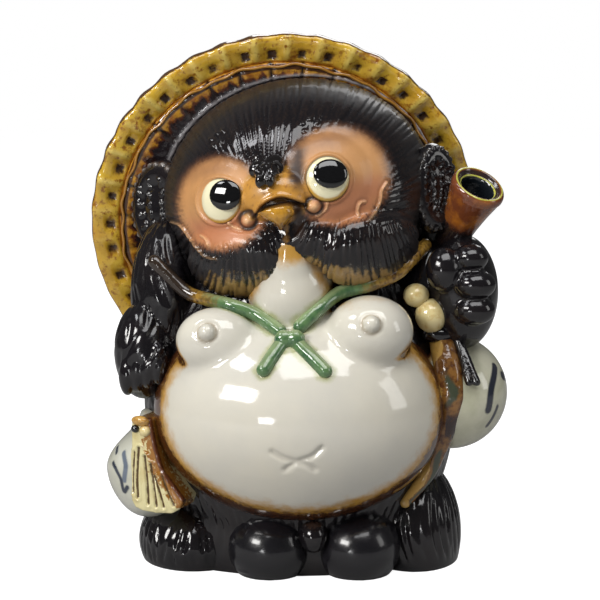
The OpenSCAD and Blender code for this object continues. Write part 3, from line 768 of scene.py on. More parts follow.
set_down(lip, lip_glaze, "straw_glaze", "lower_lip")

# Ears: two pressed shells luted to the sides of the head, each with a scalloped line raised inside its
# rim and rows of small curls in the hollow. Its line has a painted pale highlight, faint on the right ear.
ear_poses = [("left", -89, 4, 56, (0.0200, 0.0100, 0.0235)), ("right", 84, -9, -40, (0.012, 0.009, 0.021))]
ear_curls = [(0.18, 0.55), (0.24, 0.34), (0.26, 0.12), (0.24, -0.10), (0.18, -0.32), (0.12, -0.52),
             (0.52, 0.42), (0.58, 0.18), (0.58, -0.06), (0.52, -0.30)]
curl_ring = 0.0012
ear_grain = 0.0006
scallops = 13
for side, lon, lat, turn, half in ear_poses:
    place = on_head(lon, lat, 0.001) @ at((0, 0, 0), (0, 0, turn))
    ear = fuse("ear_" + side, [clay_ball(place, half)], ear_grain, 3)
    local = (points_of(ear) - np.array(place.translation)) @ np.array(place.to_3x3())
    x, z = local[:, 0] / half[0], local[:, 2] / half[2]
    reach = np.hypot(x, z)
    open_side = soft_step(0.0, -0.002, local[:, 1])
    round_by = np.arctan2(x, z)
    rise = -0.0040 * soft_step(0.85, 0.45, reach)
    for number, (cx, cz) in enumerate(ear_curls):
        across = np.abs(local[:, 0]) - cx * half[0]
        ring = np.hypot(across, (local[:, 2] - cz * half[2]) * 0.8)
        turned = np.arctan2(local[:, 2] - cz * half[2], across) + number
        rise += 0.0012 * hump(ring - curl_ring, 0.0005) * soft_step(-0.9, 0.2, np.cos(turned))
    scallop = hump((reach - 0.90 + 0.012 * np.sin(round_by * scallops)) * 0.017, 0.0006)
    scallop *= 0.6 + 0.4 * np.sin(round_by * scallops * 2)
    rise += 0.0012 * scallop
    raise_by(ear, rise * open_side)
    worn = 0.3 * open_side * soft_step(0.9, 0.5, reach)
    # The scallop line is painted pale as a highlight, strongly on the left ear and faintly on the right.
    write_masks(ear, worn=worn, line=(0.8 if side == "left" else 0.25) * scallop * open_side)
    set_down(ear, fur_glaze, "fur_glaze", "ear_" + side)

# Hat border: the turned-up edge of the sedge hat, pinched into folds with a finger and pricked with
# a square stick between them. Its straw-yellow glaze runs brown in the hollows and along the rim.
border_middle = 0.0865
border_half = 0.0075
border_thick = 0.0035
fold_count = 38
fold_height = 0.0016
prick_ring = 0.0843
prick_half = 0.0021
prick_depth = 0.0016


def hat_ring(name, middle_r, half_r, half_t, steps, sides):
    """A ring of clay in the hat's own frame: crown towards +Z, the face towards -Z."""
    bpy.ops.object.select_all(action="DESELECT")
    bpy.ops.mesh.primitive_torus_add(major_radius=middle_r, minor_radius=half_r,
                                     major_segments=steps, minor_segments=sides)
    ring = bpy.context.object
    ring.name = ring.data.name = name
    bpy.ops.object.shade_smooth()
    spots = points_of(ring)
    spots[:, 2] *= half_t / half_r
    move_to(ring, spots)
    return ring


def hat_polar(obj):
    """Angle from the top of the hat, distance from its middle, and height, in the hat's own frame."""
    spots = points_of(obj)
    return np.arctan2(spots[:, 0], -spots[:, 1]), np.hypot(spots[:, 0], spots[:, 1]), spots[:, 2]


border = hat_ring("hat_border", border_middle, border_half, border_thick, 900, 48)
angle, radius, depth = hat_polar(border)
spots = points_of(border)
flat = border_thick * np.sign(depth) * (1 - np.abs((radius - border_middle) / border_half) ** 3.2) ** 0.4
spots[:, 2] = np.where(np.abs(radius - border_middle) < border_half * 0.999, flat, depth)
face_side = soft_step(0.001, -0.001, spots[:, 2])
fold = angle * fold_count / (2 * math.pi)
fold_at = np.abs(fold - np.round(fold + 0.12 * np.sin(angle * 5)) - 0.12 * np.sin(angle * 5))
strong = 0.30 + 0.70 * soft_step(0.0, 0.6, np.cos(angle + 0.15))
strong *= 0.75 + 0.5 * chance(np.round(fold), 2.0)
across = (radius - border_middle) / border_half
pinch = hump(fold_at, 0.085) * soft_step(-1.0, -0.2, across)
spots[:, 2] -= fold_height * strong * pinch * face_side
spots[:, 2] += 0.0009 * strong * hump(fold_at - 0.5, 0.22) * face_side
spots[:, 2] -= 0.0013 * across * strong * face_side
number = np.floor(fold)
prick_r = prick_ring + 0.0010 * (chance(number, 7.0) - 0.5)
prick_size = prick_half * (0.85 + 0.3 * chance(number, 13.0))
side_gap = np.abs(fold - number - 0.5 - 0.16 * (chance(number, 5.0) - 0.5))
side_gap *= 2 * math.pi * prick_ring / fold_count
prick = soft_step(prick_size + 0.0006, prick_size - 0.0005, np.maximum(side_gap, np.abs(radius - prick_r)))
spots[:, 2] += prick_depth * prick * face_side
swell = 1 + 0.0045 * (np.cos(angle * fold_count) - 1.2) * strong * soft_step(0.2, 1.0, across)
spots[:, :2] *= swell[:, None]
move_to(border, spots)
halo = soft_step(prick_half + 0.0022, prick_half, np.hypot(side_gap, radius - prick_r))
write_masks(
    border,
    halo=halo * face_side * (0.9 - 0.4 * strong),
    prick=prick * face_side * (0.6 + 0.4 * chance(number, 11.0)),
    rim=soft_step(0.86, 1.0, across),
    low=soft_step(-0.55, -0.95, across) + 0.5 * hump(fold_at - 0.10, 0.05) * (1 - pinch),
    foot=soft_step(0.35, 0.95, -np.cos(angle)) + 0.25 * soft_step(0.2, 0.9, np.sin(np.abs(angle))),
    pinch=pinch * strong,
)
border.data.transform(hat_place)
straw_glaze = Glaze("straw_glaze", (203, 166, 54), rough=0.12, coat=0.6)
straw_glaze.drift((186, 138, 34), 70, 0.40, 0.75)
straw_glaze.paint("pinch", (226, 200, 104))
straw_glaze.brush("low", (168, 104, 26), 260, 0.30, 0.95, 0.5)
straw_glaze.drift((142, 92, 26), 330, 0.54, 0.66)
straw_glaze.drift((134, 78, 24), 130, 0.57, 0.70)
straw_glaze.brush("foot", (140, 74, 22), 120, 0.35, 0.95, 0.7)
straw_glaze.brush("halo", (132, 92, 34), 500, 0.25, 0.95, 0.5)
straw_glaze.brush("prick", (62, 42, 26), 700, 0.15, 0.75, 0.4)
straw_glaze.brush("rim", (86, 56, 26), 300, 0.30, 0.90, 0.6)
straw_glaze.ripple(300, 0.0003)
set_down(border, straw_glaze, "straw_glaze", "hat_border")

# Hat seam: a thin wavy coil of clay where the border is tied to the slats, with a glaze that runs brown
# beside it and is gold on top, that gold partly its glaze and partly a painted highlight.
ridge_middle = 0.0790
ridge_half = 0.0008
ridge = hat_ring("hat_ridge", ridge_middle, ridge_half, ridge_half, 900, 16)
angle, radius, depth = hat_polar(ridge)
spots = points_of(ridge)
sway = 0.0005 * np.sin(angle * 17) + 0.0004 * np.sin(angle * fold_count)
spots[:, :2] *= (1 + sway / 0.0787)[:, None]
spots[:, 2] += -0.0036 + 0.0003 * np.sin(angle * 23)
move_to(ridge, spots)
write_masks(ridge, top=soft_step(0.0, -0.0009, depth))
ridge.data.transform(hat_place)
ridge_glaze = Glaze("ridge_glaze", (108, 62, 20), rough=0.12, coat=0.6)
# Gold on the front of the coil: partly its glaze, partly a painted highlight.
ridge_glaze.brush("top", (166, 118, 46), 240, 0.3, 0.9, 0.5).ripple(300, 0.0002)
set_down(ridge, ridge_glaze, "brown_glaze", "hat_ridge")

# Hat slats: the underside of the hat, a flat collar scored into bamboo slats. The yellow glaze of the border
# turns brown and then black towards the head, whose edge a thin raised line follows with a painted highlight.
slat_in = 0.050
slat_out = 0.0800
slat_half_t = 0.0025
slat_count = 31
hood_middle = (-0.004, 0.176)
hood_gap = 0.0014


def hood_polar(points):
    """Angle and distance of points from the middle of the head, as the viewer sees them."""
    x, z = sight(points)
    x, z = x - hood_middle[0], z - hood_middle[1]
    return np.arctan2(x, z), np.hypot(x, z)


slat_middle = (slat_in + slat_out) / 2
slat_half_w = (slat_out - slat_in) / 2
slats = hat_ring("hat_slats", slat_middle, slat_half_w, slat_half_t, 960, 96)
angle, radius, depth = hat_polar(slats)
spots = points_of(slats)
across = np.clip(np.abs(radius - slat_middle) / slat_half_w, 0, 0.9999)
spots[:, 2] = slat_half_t * np.sign(depth) * (1 - across ** 6) ** 0.5
part = (angle * slat_count / (2 * math.pi) + 0.5 + 0.05 * np.sin(angle * 3)) % 1.0
gap = np.minimum(part, 1 - part) * 2 * math.pi * radius / slat_count
face_side = soft_step(0.0005, -0.0005, depth)
groove = hump(gap, 0.0008)
lift = hump(gap - 0.0017, 0.0007)
spots[:, 2] += (0.0017 * groove - 0.0006 * lift - 0.0012 * soft_step(0.070, 0.0785, radius)) * face_side
move_to(slats, spots)
write_masks(slats, groove=hump(gap, 0.0010) * face_side, lift=lift * face_side)
slats.data.transform(hat_place)
spots = points_of(slats)
sweep, reach = hood_polar(points_of(head))
order = np.argsort(sweep)
turns = np.linspace(-math.pi, math.pi, 181)
edges = np.searchsorted(sweep[order], turns)
hood_reach = np.array([reach[order][a:b].max() for a, b in zip(edges, edges[1:])])
sweep, reach = hood_polar(spots)
# A thin ridge just outside the head's edge, which also carries a painted pale highlight.
hood = hump(reach - np.interp(sweep, (turns[1:] + turns[:-1]) / 2, hood_reach) - hood_gap, 0.0006) * face_side
raise_by(slats, 0.0010 * hood)
shade = soft_step(0.0774, 0.0706, radius + 0.0012 * np.sin(angle * 91) + 0.0010 * np.sin(angle * 57 + 1))
write_masks(
    slats,
    seam=soft_step(0.0762, 0.0775, radius) * soft_step(0.0800, 0.0790, radius),
    shade=np.maximum(shade, soft_step(0.25, 0.75, -np.cos(angle))),
    hood=hood,
)
slat_glaze = Glaze("slat_glaze", (196, 142, 40), rough=0.14, coat=0.6)
slat_glaze.drift((150, 88, 26), 240, 0.42, 0.62)
slat_glaze.paint("lift", (206, 150, 60))
slat_glaze.brush("shade", (92, 46, 22), 420, 0.10, 0.60, 0.6)
slat_glaze.brush("shade", (30, 24, 28), 300, 0.45, 0.95, 0.5)
slat_glaze.brush("seam", (80, 46, 18), 400, 0.2, 0.8, 0.4)
slat_glaze.paint("groove", (34, 18, 12))
# Painted highlight: pale grey along the thin ridge beside the head.
slat_glaze.paint("hood", (150, 146, 148)).ripple(400, 0.0003)
set_down(slats, slat_glaze, "slat_glaze", "hat_slats")

# Hat crown: the low woven dome behind the brim. It is pressed in one, and scored with rings and short
# plaits before it takes the straw glaze, which runs brown between the rings.
crown_radius = 0.0775
crown_height = 0.036
crown_rings = 9
plaits = 72
bpy.ops.object.select_all(action="DESELECT")
bpy.ops.mesh.primitive_uv_sphere_add(segments=432, ring_count=190, radius=1.0)
crown = bpy.context.object
crown.name = crown.data.name = "hat_crown"
crown.scale = (crown_radius, crown_radius, crown_height)
bpy.ops.object.transform_apply(scale=True)
bpy.ops.object.shade_smooth()
slice_off(crown, (0, 0, 0.0), (0, 0, -1))
angle, radius, depth = hat_polar(crown)
spots = points_of(crown)
out = radius / crown_radius * crown_rings
ring_part = out % 1.0
plait = np.sin(angle * plaits + np.floor(out) * math.pi) * np.sin(math.pi * ring_part)
upper = soft_step(0.0005, 0.003, depth)
weave = (0.0012 * np.sin(math.pi * ring_part) ** 0.5 + 0.0004 * plait) * upper
move_to(crown, spots + normals_of(crown) * weave[:, None]
        + np.array([0, 0, 1]) * (0.0040 * soft_step(0.010, 0.0, radius) + 0.0008 * upper)[:, None])
write_masks(
    crown,
    low=(1 - np.sin(math.pi * ring_part) ** 0.5) * upper,
    foot=soft_step(0.2, 1.0, -np.cos(angle) * radius / crown_radius),
    prick=hump(plait + 1, 0.5) * upper * 0.6,
    rim=soft_step(0.94, 1.0, radius / crown_radius),
    pinch=soft_step(0.4, 1.0, plait) * 0.5 * upper,
)
crown.data.transform(hat_place)
set_down(crown, straw_glaze, "straw_glaze", "hat_crown")

# Hat cords: rolled coils of clay that come from under the cheeks, cross the chest and meet in a knot
# with two short tails. Their green glaze runs gold and brown at the far ends. Their tops are painted pale
# as a highlight, and the left cord's end is painted dark brown as the shadow under the cheek.
knot_lobes = [(-0.0072, -0.0628, 0.1150), (-0.0020, -0.0632, 0.1152)]


def clay_coil(points, radii):
    """A rolled coil of clay laid along a smooth line, with its radius given at each chosen point."""
    line = soft_line(points)
    sizes = np.interp(np.linspace(0, len(points) - 1, len(line)), np.arange(len(points)), radii)
    curve = bpy.data.curves.new("coil", "CURVE")
    curve.dimensions = "3D"
    curve.bevel_depth = 1.0
    curve.bevel_resolution = 6
    curve.use_fill_caps = True
    spline = curve.splines.new("POLY")
    spline.points.add(len(line) - 1)
    for point, spot, size in zip(spline.points, line, sizes):
        point.co = (*spot, 1.0)
        point.radius = size
    coil = bpy.data.objects.new("coil", curve)
    bpy.context.scene.collection.objects.link(coil)
    only(coil)
    bpy.ops.object.convert(target="MESH")
    return bpy.context.object


def round_coil(points, radii):
    """A coil of clay with its two ends rounded off."""
    lumps = [clay_coil(points, radii)]
    return lumps + [clay_ball(at(points[end]), (radii[end],) * 3, 4) for end in (0, -1)]


cord_glaze = Glaze("green_glaze", (94, 126, 82), rough=0.12, coat=0.6)
cord_glaze.drift((46, 86, 56), 150, 0.42, 0.66)
# Painted highlight: pale green-cream on the upward faces of the cords and the knot.
cord_glaze.paint("top", (152, 166, 122))
cord_glaze.brush("far", (158, 122, 52), 300, 0.25, 0.9, 0.4)
cord_glaze.speckle("far", (66, 40, 20), 420, 0.45, 0.65)
# Painted shadow: dark brown on the left cord's end, where it goes under the cheek.
cord_glaze.brush("burnt", (46, 36, 28), 300, 0.2, 0.8, 0.3)
cord_glaze.ripple(300, 0.0003)
for name, points, radius in cord_lines:
    cord = fuse(name, round_coil(points, [radius] * len(points)), 0.0005, 4)
    spots = points_of(cord)
    write_masks(
        cord,
        far=soft_step(0.022, 0.048, np.abs(spots[:, 0] + 0.0045)),
        # painted shadow at the left cord's end, under the cheek
        burnt=soft_step(-0.044, -0.056, spots[:, 0]),
        # pale top: painted highlight on the upward faces
        top=0.6 * soft_step(0.35, 0.85, normals_of(cord)[:, 2]),
    )
    set_down(cord, cord_glaze, "green_glaze", name)
knot = fuse("cord_knot", [clay_ball(at(spot), (0.0044, 0.0036, 0.0045), 5) for spot in knot_lobes], 0.0005, 4)
# The knot's upward faces get the same painted highlight; the painted shadow is left off.
write_masks(knot, far=0, burnt=0, top=0.6 * soft_step(0.3, 0.9, normals_of(knot)[:, 2]))
set_down(knot, cord_glaze, "green_glaze", "cord_knot")

# Arms and paws: pressed lumps luted to the shoulders. The left arm hangs, combed in long locks, with
# its knuckles over the book. The right paw is bent up round the neck of the flask, smooth and knobbly.
arm_left_middle = on_body(-78, 33, 0.002)
paw_left_middle = on_body(-67, 16, 0.0075)
arm_right_middle = on_body(82.5, 34.5, -0.0015)
paw_right_middle = on_body(68.5, 29.5, 0.018)
knuckles_left = [(-0.007 + 0.005 * f, -0.009 - 0.0015 * f, -0.010 + 0.002 * f) for f in range(4)]
fingers_right = [
    ((0.066, -0.035, 0.143), (0.0085, 0.0085, 0.0105)),
    ((0.078, -0.036, 0.1485), (0.0080, 0.0075, 0.0065)),
    ((0.080, -0.038, 0.1365), (0.0095, 0.0080, 0.0070)),
    ((0.080, -0.036, 0.1245), (0.0095, 0.0080, 0.0070)),
]
arm_grain = 0.0008

lumps = [clay_ball(at(arm_left_middle), (0.017, 0.024, 0.036))]
lumps += [clay_ball(at(paw_left_middle), (0.014, 0.016, 0.023))]
lumps += [clay_ball(at(paw_left_middle + Vector(spot)), (0.0042, 0.006, 0.010), 4) for spot in knuckles_left]
arm = fuse("arm_left", lumps, arm_grain, 5)
spots = points_of(arm)
around = np.arctan2(spots[:, 0] + 0.060, -spots[:, 1] + 0.004) * 0.020
wave = 0.002 * np.sin(spots[:, 2] * 90)
marks = comb_marks(around + wave, spots[:, 2] + 0.4 * spots[:, 1], 0.0034, 0.017, 0.22)
marks *= soft_step(0.092, 0.104, spots[:, 2])
raise_by(arm, -0.0012 * marks)
write_masks(arm, worn=0.5 * soft_step(0.098, 0.082, spots[:, 2]) * soft_step(-0.074, -0.060, spots[:, 0]))
set_down(arm, fur_glaze, "fur_glaze", "arm_left", "paw_left")

lumps = [clay_ball(at(arm_right_middle), (0.020, 0.026, 0.032))]
lumps += [clay_ball(at(paw_right_middle), (0.017, 0.019, 0.027))]
lumps += [clay_ball(at(spot), half, 5) for spot, half in fingers_right]
arm = fuse("arm_right", lumps, arm_grain, 4)
write_masks(arm, worn=0)
set_down(arm, fur_glaze, "fur_glaze", "arm_right", "paw_right", "thumb_right", "fingers_right")

# Flask: a round wine flask against the right hip. It is milk white with a few broad brush strokes of
# blue-black, which are plain marks and no writing.
flask_middle = (0.071, -0.012, 0.082)
flask_radius = 0.027
flask_strokes = [([(0.0934, 0.0918), (0.0920, 0.0814), (0.0906, 0.0707)], 0.0018),
                 ([(0.0949, 0.0722), (0.0928, 0.0670), (0.0901, 0.0629)], 0.0009)]
side_strokes = [((70, 95), (20, 12), 0.0020), ((100, 118), (26, -6), 0.0016), ((104, 86), (-14, -30), 0.0016)]


def brushed(obj, strokes, soft):
    """Brush strokes on a piece, each a line as the viewer sees it and its half width.

    A stroke that runs off the piece is left out.
    """
    skin = skin_of(obj)
    ink = np.zeros(len(obj.data.vertices))
    for stroke, radius in strokes:
        line = [seen(skin, sx, sz)[0] for sx, sz in stroke]
        if all(line):
            ink = np.maximum(ink, soft_step(radius + soft, radius - 0.0002, line_gap(points_of(obj), line)))
    return ink


flask = fuse("flask_body", [clay_ball(at(flask_middle), (flask_radius,) * 3)], 0.0006, 2)
spots = points_of(flask)
ink = brushed(flask, flask_strokes, 0.0007)
for lons, lats, radius in side_strokes:
    line = [on_ball(flask_middle, (flask_radius,) * 3, lons[0] + (lons[1] - lons[0]) * t,
                    lats[0] + (lats[1] - lats[0]) * t) for t in (0, 0.5, 1)]
    ink = np.maximum(ink, soft_step(radius + 0.0007, radius - 0.0002, line_gap(spots, line)))
off_body = clearance(spots, at(body_middle), body_half)
write_masks(flask, ink=ink, thin=soft_step(0.0060, 0.0, off_body), rim=soft_step(0.0020, 0.0, off_body))
flask_glaze = Glaze("flask_glaze", (208, 206, 184), rough=0.09, coat=0.6)
flask_glaze.drift((176, 176, 148), 45, 0.4, 0.75)
flask_glaze.brush("thin", (168, 128, 66), 200, 0.3, 0.95, 0.4)
flask_glaze.brush("rim", rim_brown, 300, 0.3, 0.9, 0.4)
flask_glaze.paint("ink", (42, 46, 58)).ripple(120, 0.0003)
set_down(flask, flask_glaze, "flask_glaze", "flask_body")

# Flask neck: turned on the wheel, flared and rolled over at the lip, in a red-brown glaze. A thin green
# and yellow line of glaze breaks on each of the two edges round the dark mouth.
neck_start = on_body(72, 42.5, 0.0275)
neck_place = at(neck_start, (0, 38, -57.5))
neck_profile = [(0.0070, -0.0080), (0.0078, 0.0), (0.0088, 0.0080), (0.0104, 0.0170), (0.0120, 0.0240),
                (0.0126, 0.0280), (0.0119, 0.0302), (0.0107, 0.0306), (0.0097, 0.0297), (0.0090, 0.0288),
                (0.0082, 0.0284), (0.0074, 0.0262), (0.0070, 0.0220), (0.0060, 0.0190), (0.0030, 0.0180),
                (0.0, 0.0179)]
neck_steps = 128
neck_line = soft_line(neck_profile, 6)
bpy.ops.object.select_all(action="DESELECT")
bpy.ops.mesh.primitive_grid_add(x_subdivisions=neck_steps, y_subdivisions=len(neck_line) - 1, size=2)
neck = bpy.context.object
neck.name = neck.data.name = "flask_neck"
spots = points_of(neck)
turn_angle = (spots[:, 0] + 1) * math.pi
step = np.clip(np.round((spots[:, 1] + 1) / 2 * (len(neck_line) - 1)).astype(int), 0, len(neck_line) - 1)
radius = np.maximum(neck_line[step, 0], 0.00001)
uneven = 1 + 0.02 * np.sin(turn_angle * 2 + 0.6) + 0.012 * np.sin(turn_angle * 3)
radius *= np.where(step > len(neck_line) * 0.3, uneven, 1)
move_to(neck, np.stack([radius * np.cos(turn_angle), radius * np.sin(turn_angle), neck_line[step, 1]], 1))
on_whole_mesh(neck, (bpy.ops.mesh.remove_doubles, {"threshold": 0.000012}),
              (bpy.ops.mesh.normals_make_consistent, {"inside": False}))
bpy.ops.object.shade_smooth()
spots = points_of(neck)
radius = np.hypot(spots[:, 0], spots[:, 1])
inner = soft_step(0.0268, 0.0290, spots[:, 2]) * 0.9
mouth = soft_step(0.0090, 0.0080, radius) * soft_step(0.015, 0.017, spots[:, 2])
write_masks(
    neck,
    edge=inner * np.maximum(hump(radius - 0.0112, 0.0004), hump(radius - 0.0084, 0.0004)),
    dark=np.maximum(inner * soft_step(0.0108, 0.0100, radius), mouth),
    low=soft_step(0.0140, 0.0030, spots[:, 2]),
)
neck.data.transform(neck_place)
neck_glaze = Glaze("brown_glaze", (112, 60, 34), rough=0.12, coat=0.6)
neck_glaze.drift((176, 106, 34), 90, 0.48, 0.72)
neck_glaze.brush("low", (38, 28, 28), 260, 0.2, 0.8, 0.4)
neck_glaze.paint("dark", (22, 27, 32))
neck_glaze.brush("edge", (186, 186, 82), 500, 0.2, 0.7, 0.35).ripple(260, 0.0004)
set_down(neck, neck_glaze, "brown_glaze", "flask_neck", "flask_lip")

# Flask strap: a flattened coil that hangs from the paw over the flask to the foot. Its glaze is gold
# along the left edge, mottled brown on top, and pools green-grey along the middle.
strap_run = [(59.5, 18.5, 0.006), (56.5, 11, 0.009), (55.5, 4.5, 0.010), (55.5, -2, 0.008),
             (56, -10.5, 0.0035), (54.5, -18, 0.001), (46, -26, 0.001)]
strap_radii = [0.0062, 0.0070, 0.0072, 0.0052, 0.0044, 0.0042, 0.0026]
strap = fuse("flask_strap", round_coil([on_body(*spot) for spot in strap_run], strap_radii), 0.0006, 10)
spots = points_of(strap)
x, z = sight(spots)
middle = np.interp(z, [0.0257, 0.0331, 0.0430, 0.0519, 0.0598, 0.0691, 0.0784, 0.0940, 0.1032],
                   [0.0538, 0.0609, 0.0657, 0.0685, 0.0699, 0.0702, 0.0716, 0.0704, 0.0713])
half = np.interp(z, [0.0257, 0.0430, 0.0598, 0.0784, 0.0940, 0.1032],
                 [0.0012, 0.0036, 0.0033, 0.0066, 0.0066, 0.0050])
off = (x - middle) / half
gap = off + 0.25 * np.sin(z * 300)
raise_by(strap, 0.0005 * hump(off + 0.75, 0.25) * soft_step(0.030, 0.040, z))
write_masks(
    strap,
    edge=soft_step(-0.55, -0.85, gap),
    pool=hump(gap - 0.1, 0.5) * np.maximum(hump(z - 0.080, 0.011), soft_step(0.056, 0.047, z)),
    dark=hump(z - 0.062, 0.007) * soft_step(-0.3, 0.2, off),
)
strap_glaze = Glaze("strap_glaze", (138, 96, 46), rough=0.12, coat=0.6)
strap_glaze.drift((88, 52, 28), 330, 0.42, 0.62)
strap_glaze.brush("dark", (50, 28, 24), 400, 0.3, 0.8, 0.5)
strap_glaze.brush("pool", (66, 72, 56), 300, 0.3, 0.8, 0.4)
strap_glaze.brush("edge", (190, 150, 78), 500, 0.35, 0.85, 0.8).ripple(300, 0.0004)
set_down(strap, strap_glaze, "brown_glaze", "flask_strap")

# Strap knot: a black glazed lump with two cord ends that fall on the flask, under two cream beads.
knot_middle = on_body(58, 21.5, 0.006)
knot_bend = knot_middle + Vector((0.0085, -0.0015, -0.002))
knot_ends = [Vector((0.0775, -0.0395, 0.0915)), Vector((0.0810, -0.0395, 0.0915))]
lumps = [clay_ball(at(knot_middle), (0.008, 0.006, 0.0045), 5)]
lumps += [clay_coil([knot_middle, knot_bend, end], [0.0022, 0.0022, 0.0019]) for end in knot_ends]
lumps += [clay_ball(at(end), (0.0019,) * 3, 4) for end in knot_ends]
knot = fuse("strap_knot", lumps, 0.0005, 4)
knot_glaze = Glaze("knot_glaze", (16, 15, 17), rough=0.08, coat=0.7)
knot_glaze.drift((50, 38, 30), 300, 0.55, 0.8).ripple(300, 0.0003)
set_down(knot, knot_glaze, "nose_glaze", "strap_knot")
bead_glaze = Glaze("cream_glaze", (222, 205, 150), rough=0.10, coat=0.6)
bead_glaze.drift((196, 158, 84), 170, 0.50, 0.70)
bead_glaze.brush("seat", (110, 68, 32), 400, 0.3, 0.9, 0.5).ripple(160, 0.0004)
for name, bead_spot, half in (("bead_small", on_body(51.5, 33, 0.0065), (0.0062, 0.0060, 0.0056)),
                              ("bead_large", on_body(54.5, 26.5, 0.0080), (0.0075, 0.0074, 0.0080))):
    bead = fuse(name, [clay_ball(at(bead_spot), half, 5)], 0.0005, 2)
    off_body = clearance(points_of(bead), at(body_middle), body_half)
    write_masks(bead, seat=soft_step(0.0070, 0.0015, off_body))
    set_down(bead, bead_glaze, "cream_glaze", name)

# Book: an account book at the left hip. Its pages are one wedge of clay that fans out from the tie,
# scored with creases that the cream glaze leaves dark. Its cover is a plump lump behind them, drawn in
# at its upper outer side, with plain grey and blue brush marks.
book_middle = on_body(-59, -2, 0.005)
book_place = at(book_middle, (0, 0, -22))
book_half_t = 0.011
page_seam = [(-0.0565, 0.0262), (-0.0615, 0.0335), (-0.0668, 0.0416), (-0.0702, 0.0540), (-0.0722, 0.0660)]
page_outline = [(-0.0812, 0.0660), (-0.0816, 0.0411), (-0.0817, 0.0262), (-0.0800, 0.0226), (-0.0768, 0.0208),
                (-0.0700, 0.0195), (-0.0622, 0.0193), (-0.0585, 0.0215)] + page_seam
creases = [
    [(-0.0778, 0.0520), (-0.0787, 0.0380), (-0.0785, 0.0275)],
    [(-0.0750, 0.0480), (-0.0739, 0.0350), (-0.0734, 0.0240)],
    [(-0.0722, 0.0440), (-0.0706, 0.0330), (-0.0695, 0.0230)],
    [(-0.0703, 0.0383), (-0.0680, 0.0300), (-0.0660, 0.0225)],
    [(-0.0668, 0.0380), (-0.0640, 0.0300), (-0.0612, 0.0235)],
    [(-0.0798, 0.0500), (-0.0806, 0.0380), (-0.0805, 0.0300)],
]
crease_depth = 0.0010
front = book_place.to_3x3() @ Vector((0, -1, 0))
front_point = book_middle + front * book_half_t
corners = []
for px, pz in page_outline:
    way = Vector((px, 0, pz)) - eye_point
    corners.append(eye_point + way * ((front_point - eye_point).dot(front) / way.dot(front)))
page_mesh = bpy.data.meshes.new("book_pages")
back = [corner - front * 2 * book_half_t for corner in corners]
count = len(corners)
sides = [[i, (i + 1) % count, count + (i + 1) % count, count + i] for i in range(count)]
page_mesh.from_pydata(corners + back, [], [list(range(count))[::-1], list(range(count, 2 * count))] + sides)
pages = bpy.data.objects.new("book_pages", page_mesh)
bpy.context.scene.collection.objects.link(pages)
on_whole_mesh(pages, (bpy.ops.mesh.normals_make_consistent, {"inside": False}))
pages = fuse("book_pages", [pages], 0.0006, 10)
x, z = sight(points_of(pages))
front_face = soft_step(0.2, 0.7, normals_of(pages) @ np.array(front))
here = np.stack([x, z], 1)
fold = np.zeros(len(x))
lift = np.zeros(len(x))
for crease in creases:
    gap = line_gap(here, crease)
    fold = np.maximum(fold, hump(gap, 0.0005))
    lift = np.maximum(lift, hump(gap - 0.0014, 0.0007))
raise_by(pages, (0.0005 * lift - crease_depth * fold) * front_face)
edge_gap = line_gap(here, page_seam[::-1])
mottle = soft_step(0.0105, 0.0015, edge_gap)
write_masks(pages, fold=fold * front_face, mottle=mottle, seat=soft_step(0.0022, 0.0004, edge_gap))
page_glaze = Glaze("page_glaze", (218, 208, 158), rough=0.10, coat=0.6)
page_glaze.drift((196, 176, 116), 80, 0.45, 0.75)
page_glaze.brush("mottle", (150, 100, 36), 600, 0.55, 0.85, 0.8)
page_glaze.brush("fold", (84, 60, 30), 500, 0.2, 0.7, 0.5)
page_glaze.brush("seat", (92, 50, 26), 300, 0.3, 0.9, 0.4).ripple(200, 0.0003)
set_down(pages, page_glaze, "cream_glaze", "book_pages")

cover_middle = book_middle + Vector((-0.003, 0.016, -0.024))
cover_strokes = [
    ([(-0.0864, 0.0585), (-0.0868, 0.0550)], 0.0007),
    ([(-0.0880, 0.0525), (-0.0885, 0.0495)], 0.0008),
    ([(-0.0902, 0.0445), (-0.0888, 0.0412), (-0.0866, 0.0364), (-0.0852, 0.0305), (-0.0835, 0.0325)], 0.0009),
]
leaf_strokes = [([(-0.0850, 0.0495), (-0.0842, 0.0430), (-0.0850, 0.0360)], 0.0012)]
cover = fuse("book_cover", [clay_ball(at(cover_middle), (0.023, 0.022, 0.026))], 0.0006, 2)
spots = points_of(cover)
drawn_in = 0.0025 + 0.0100 * soft_step(0.045, 0.074, spots[:, 2])
spots[:, 0] += drawn_in * soft_step(-0.072, -0.092, spots[:, 0])
move_to(cover, spots)
write_masks(cover, ink=brushed(cover, cover_strokes, 0.0006), leaf=brushed(cover, leaf_strokes, 0.0006))
cover_glaze = Glaze("cover_glaze", (206, 206, 194), rough=0.09, coat=0.6)
cover_glaze.drift((184, 184, 166), 50, 0.4, 0.75)
cover_glaze.paint("leaf", (104, 114, 128))
cover_glaze.paint("ink", (46, 54, 68)).ripple(120, 0.0003)
set_down(cover, cover_glaze, "book_cover_glaze", "book_cover")

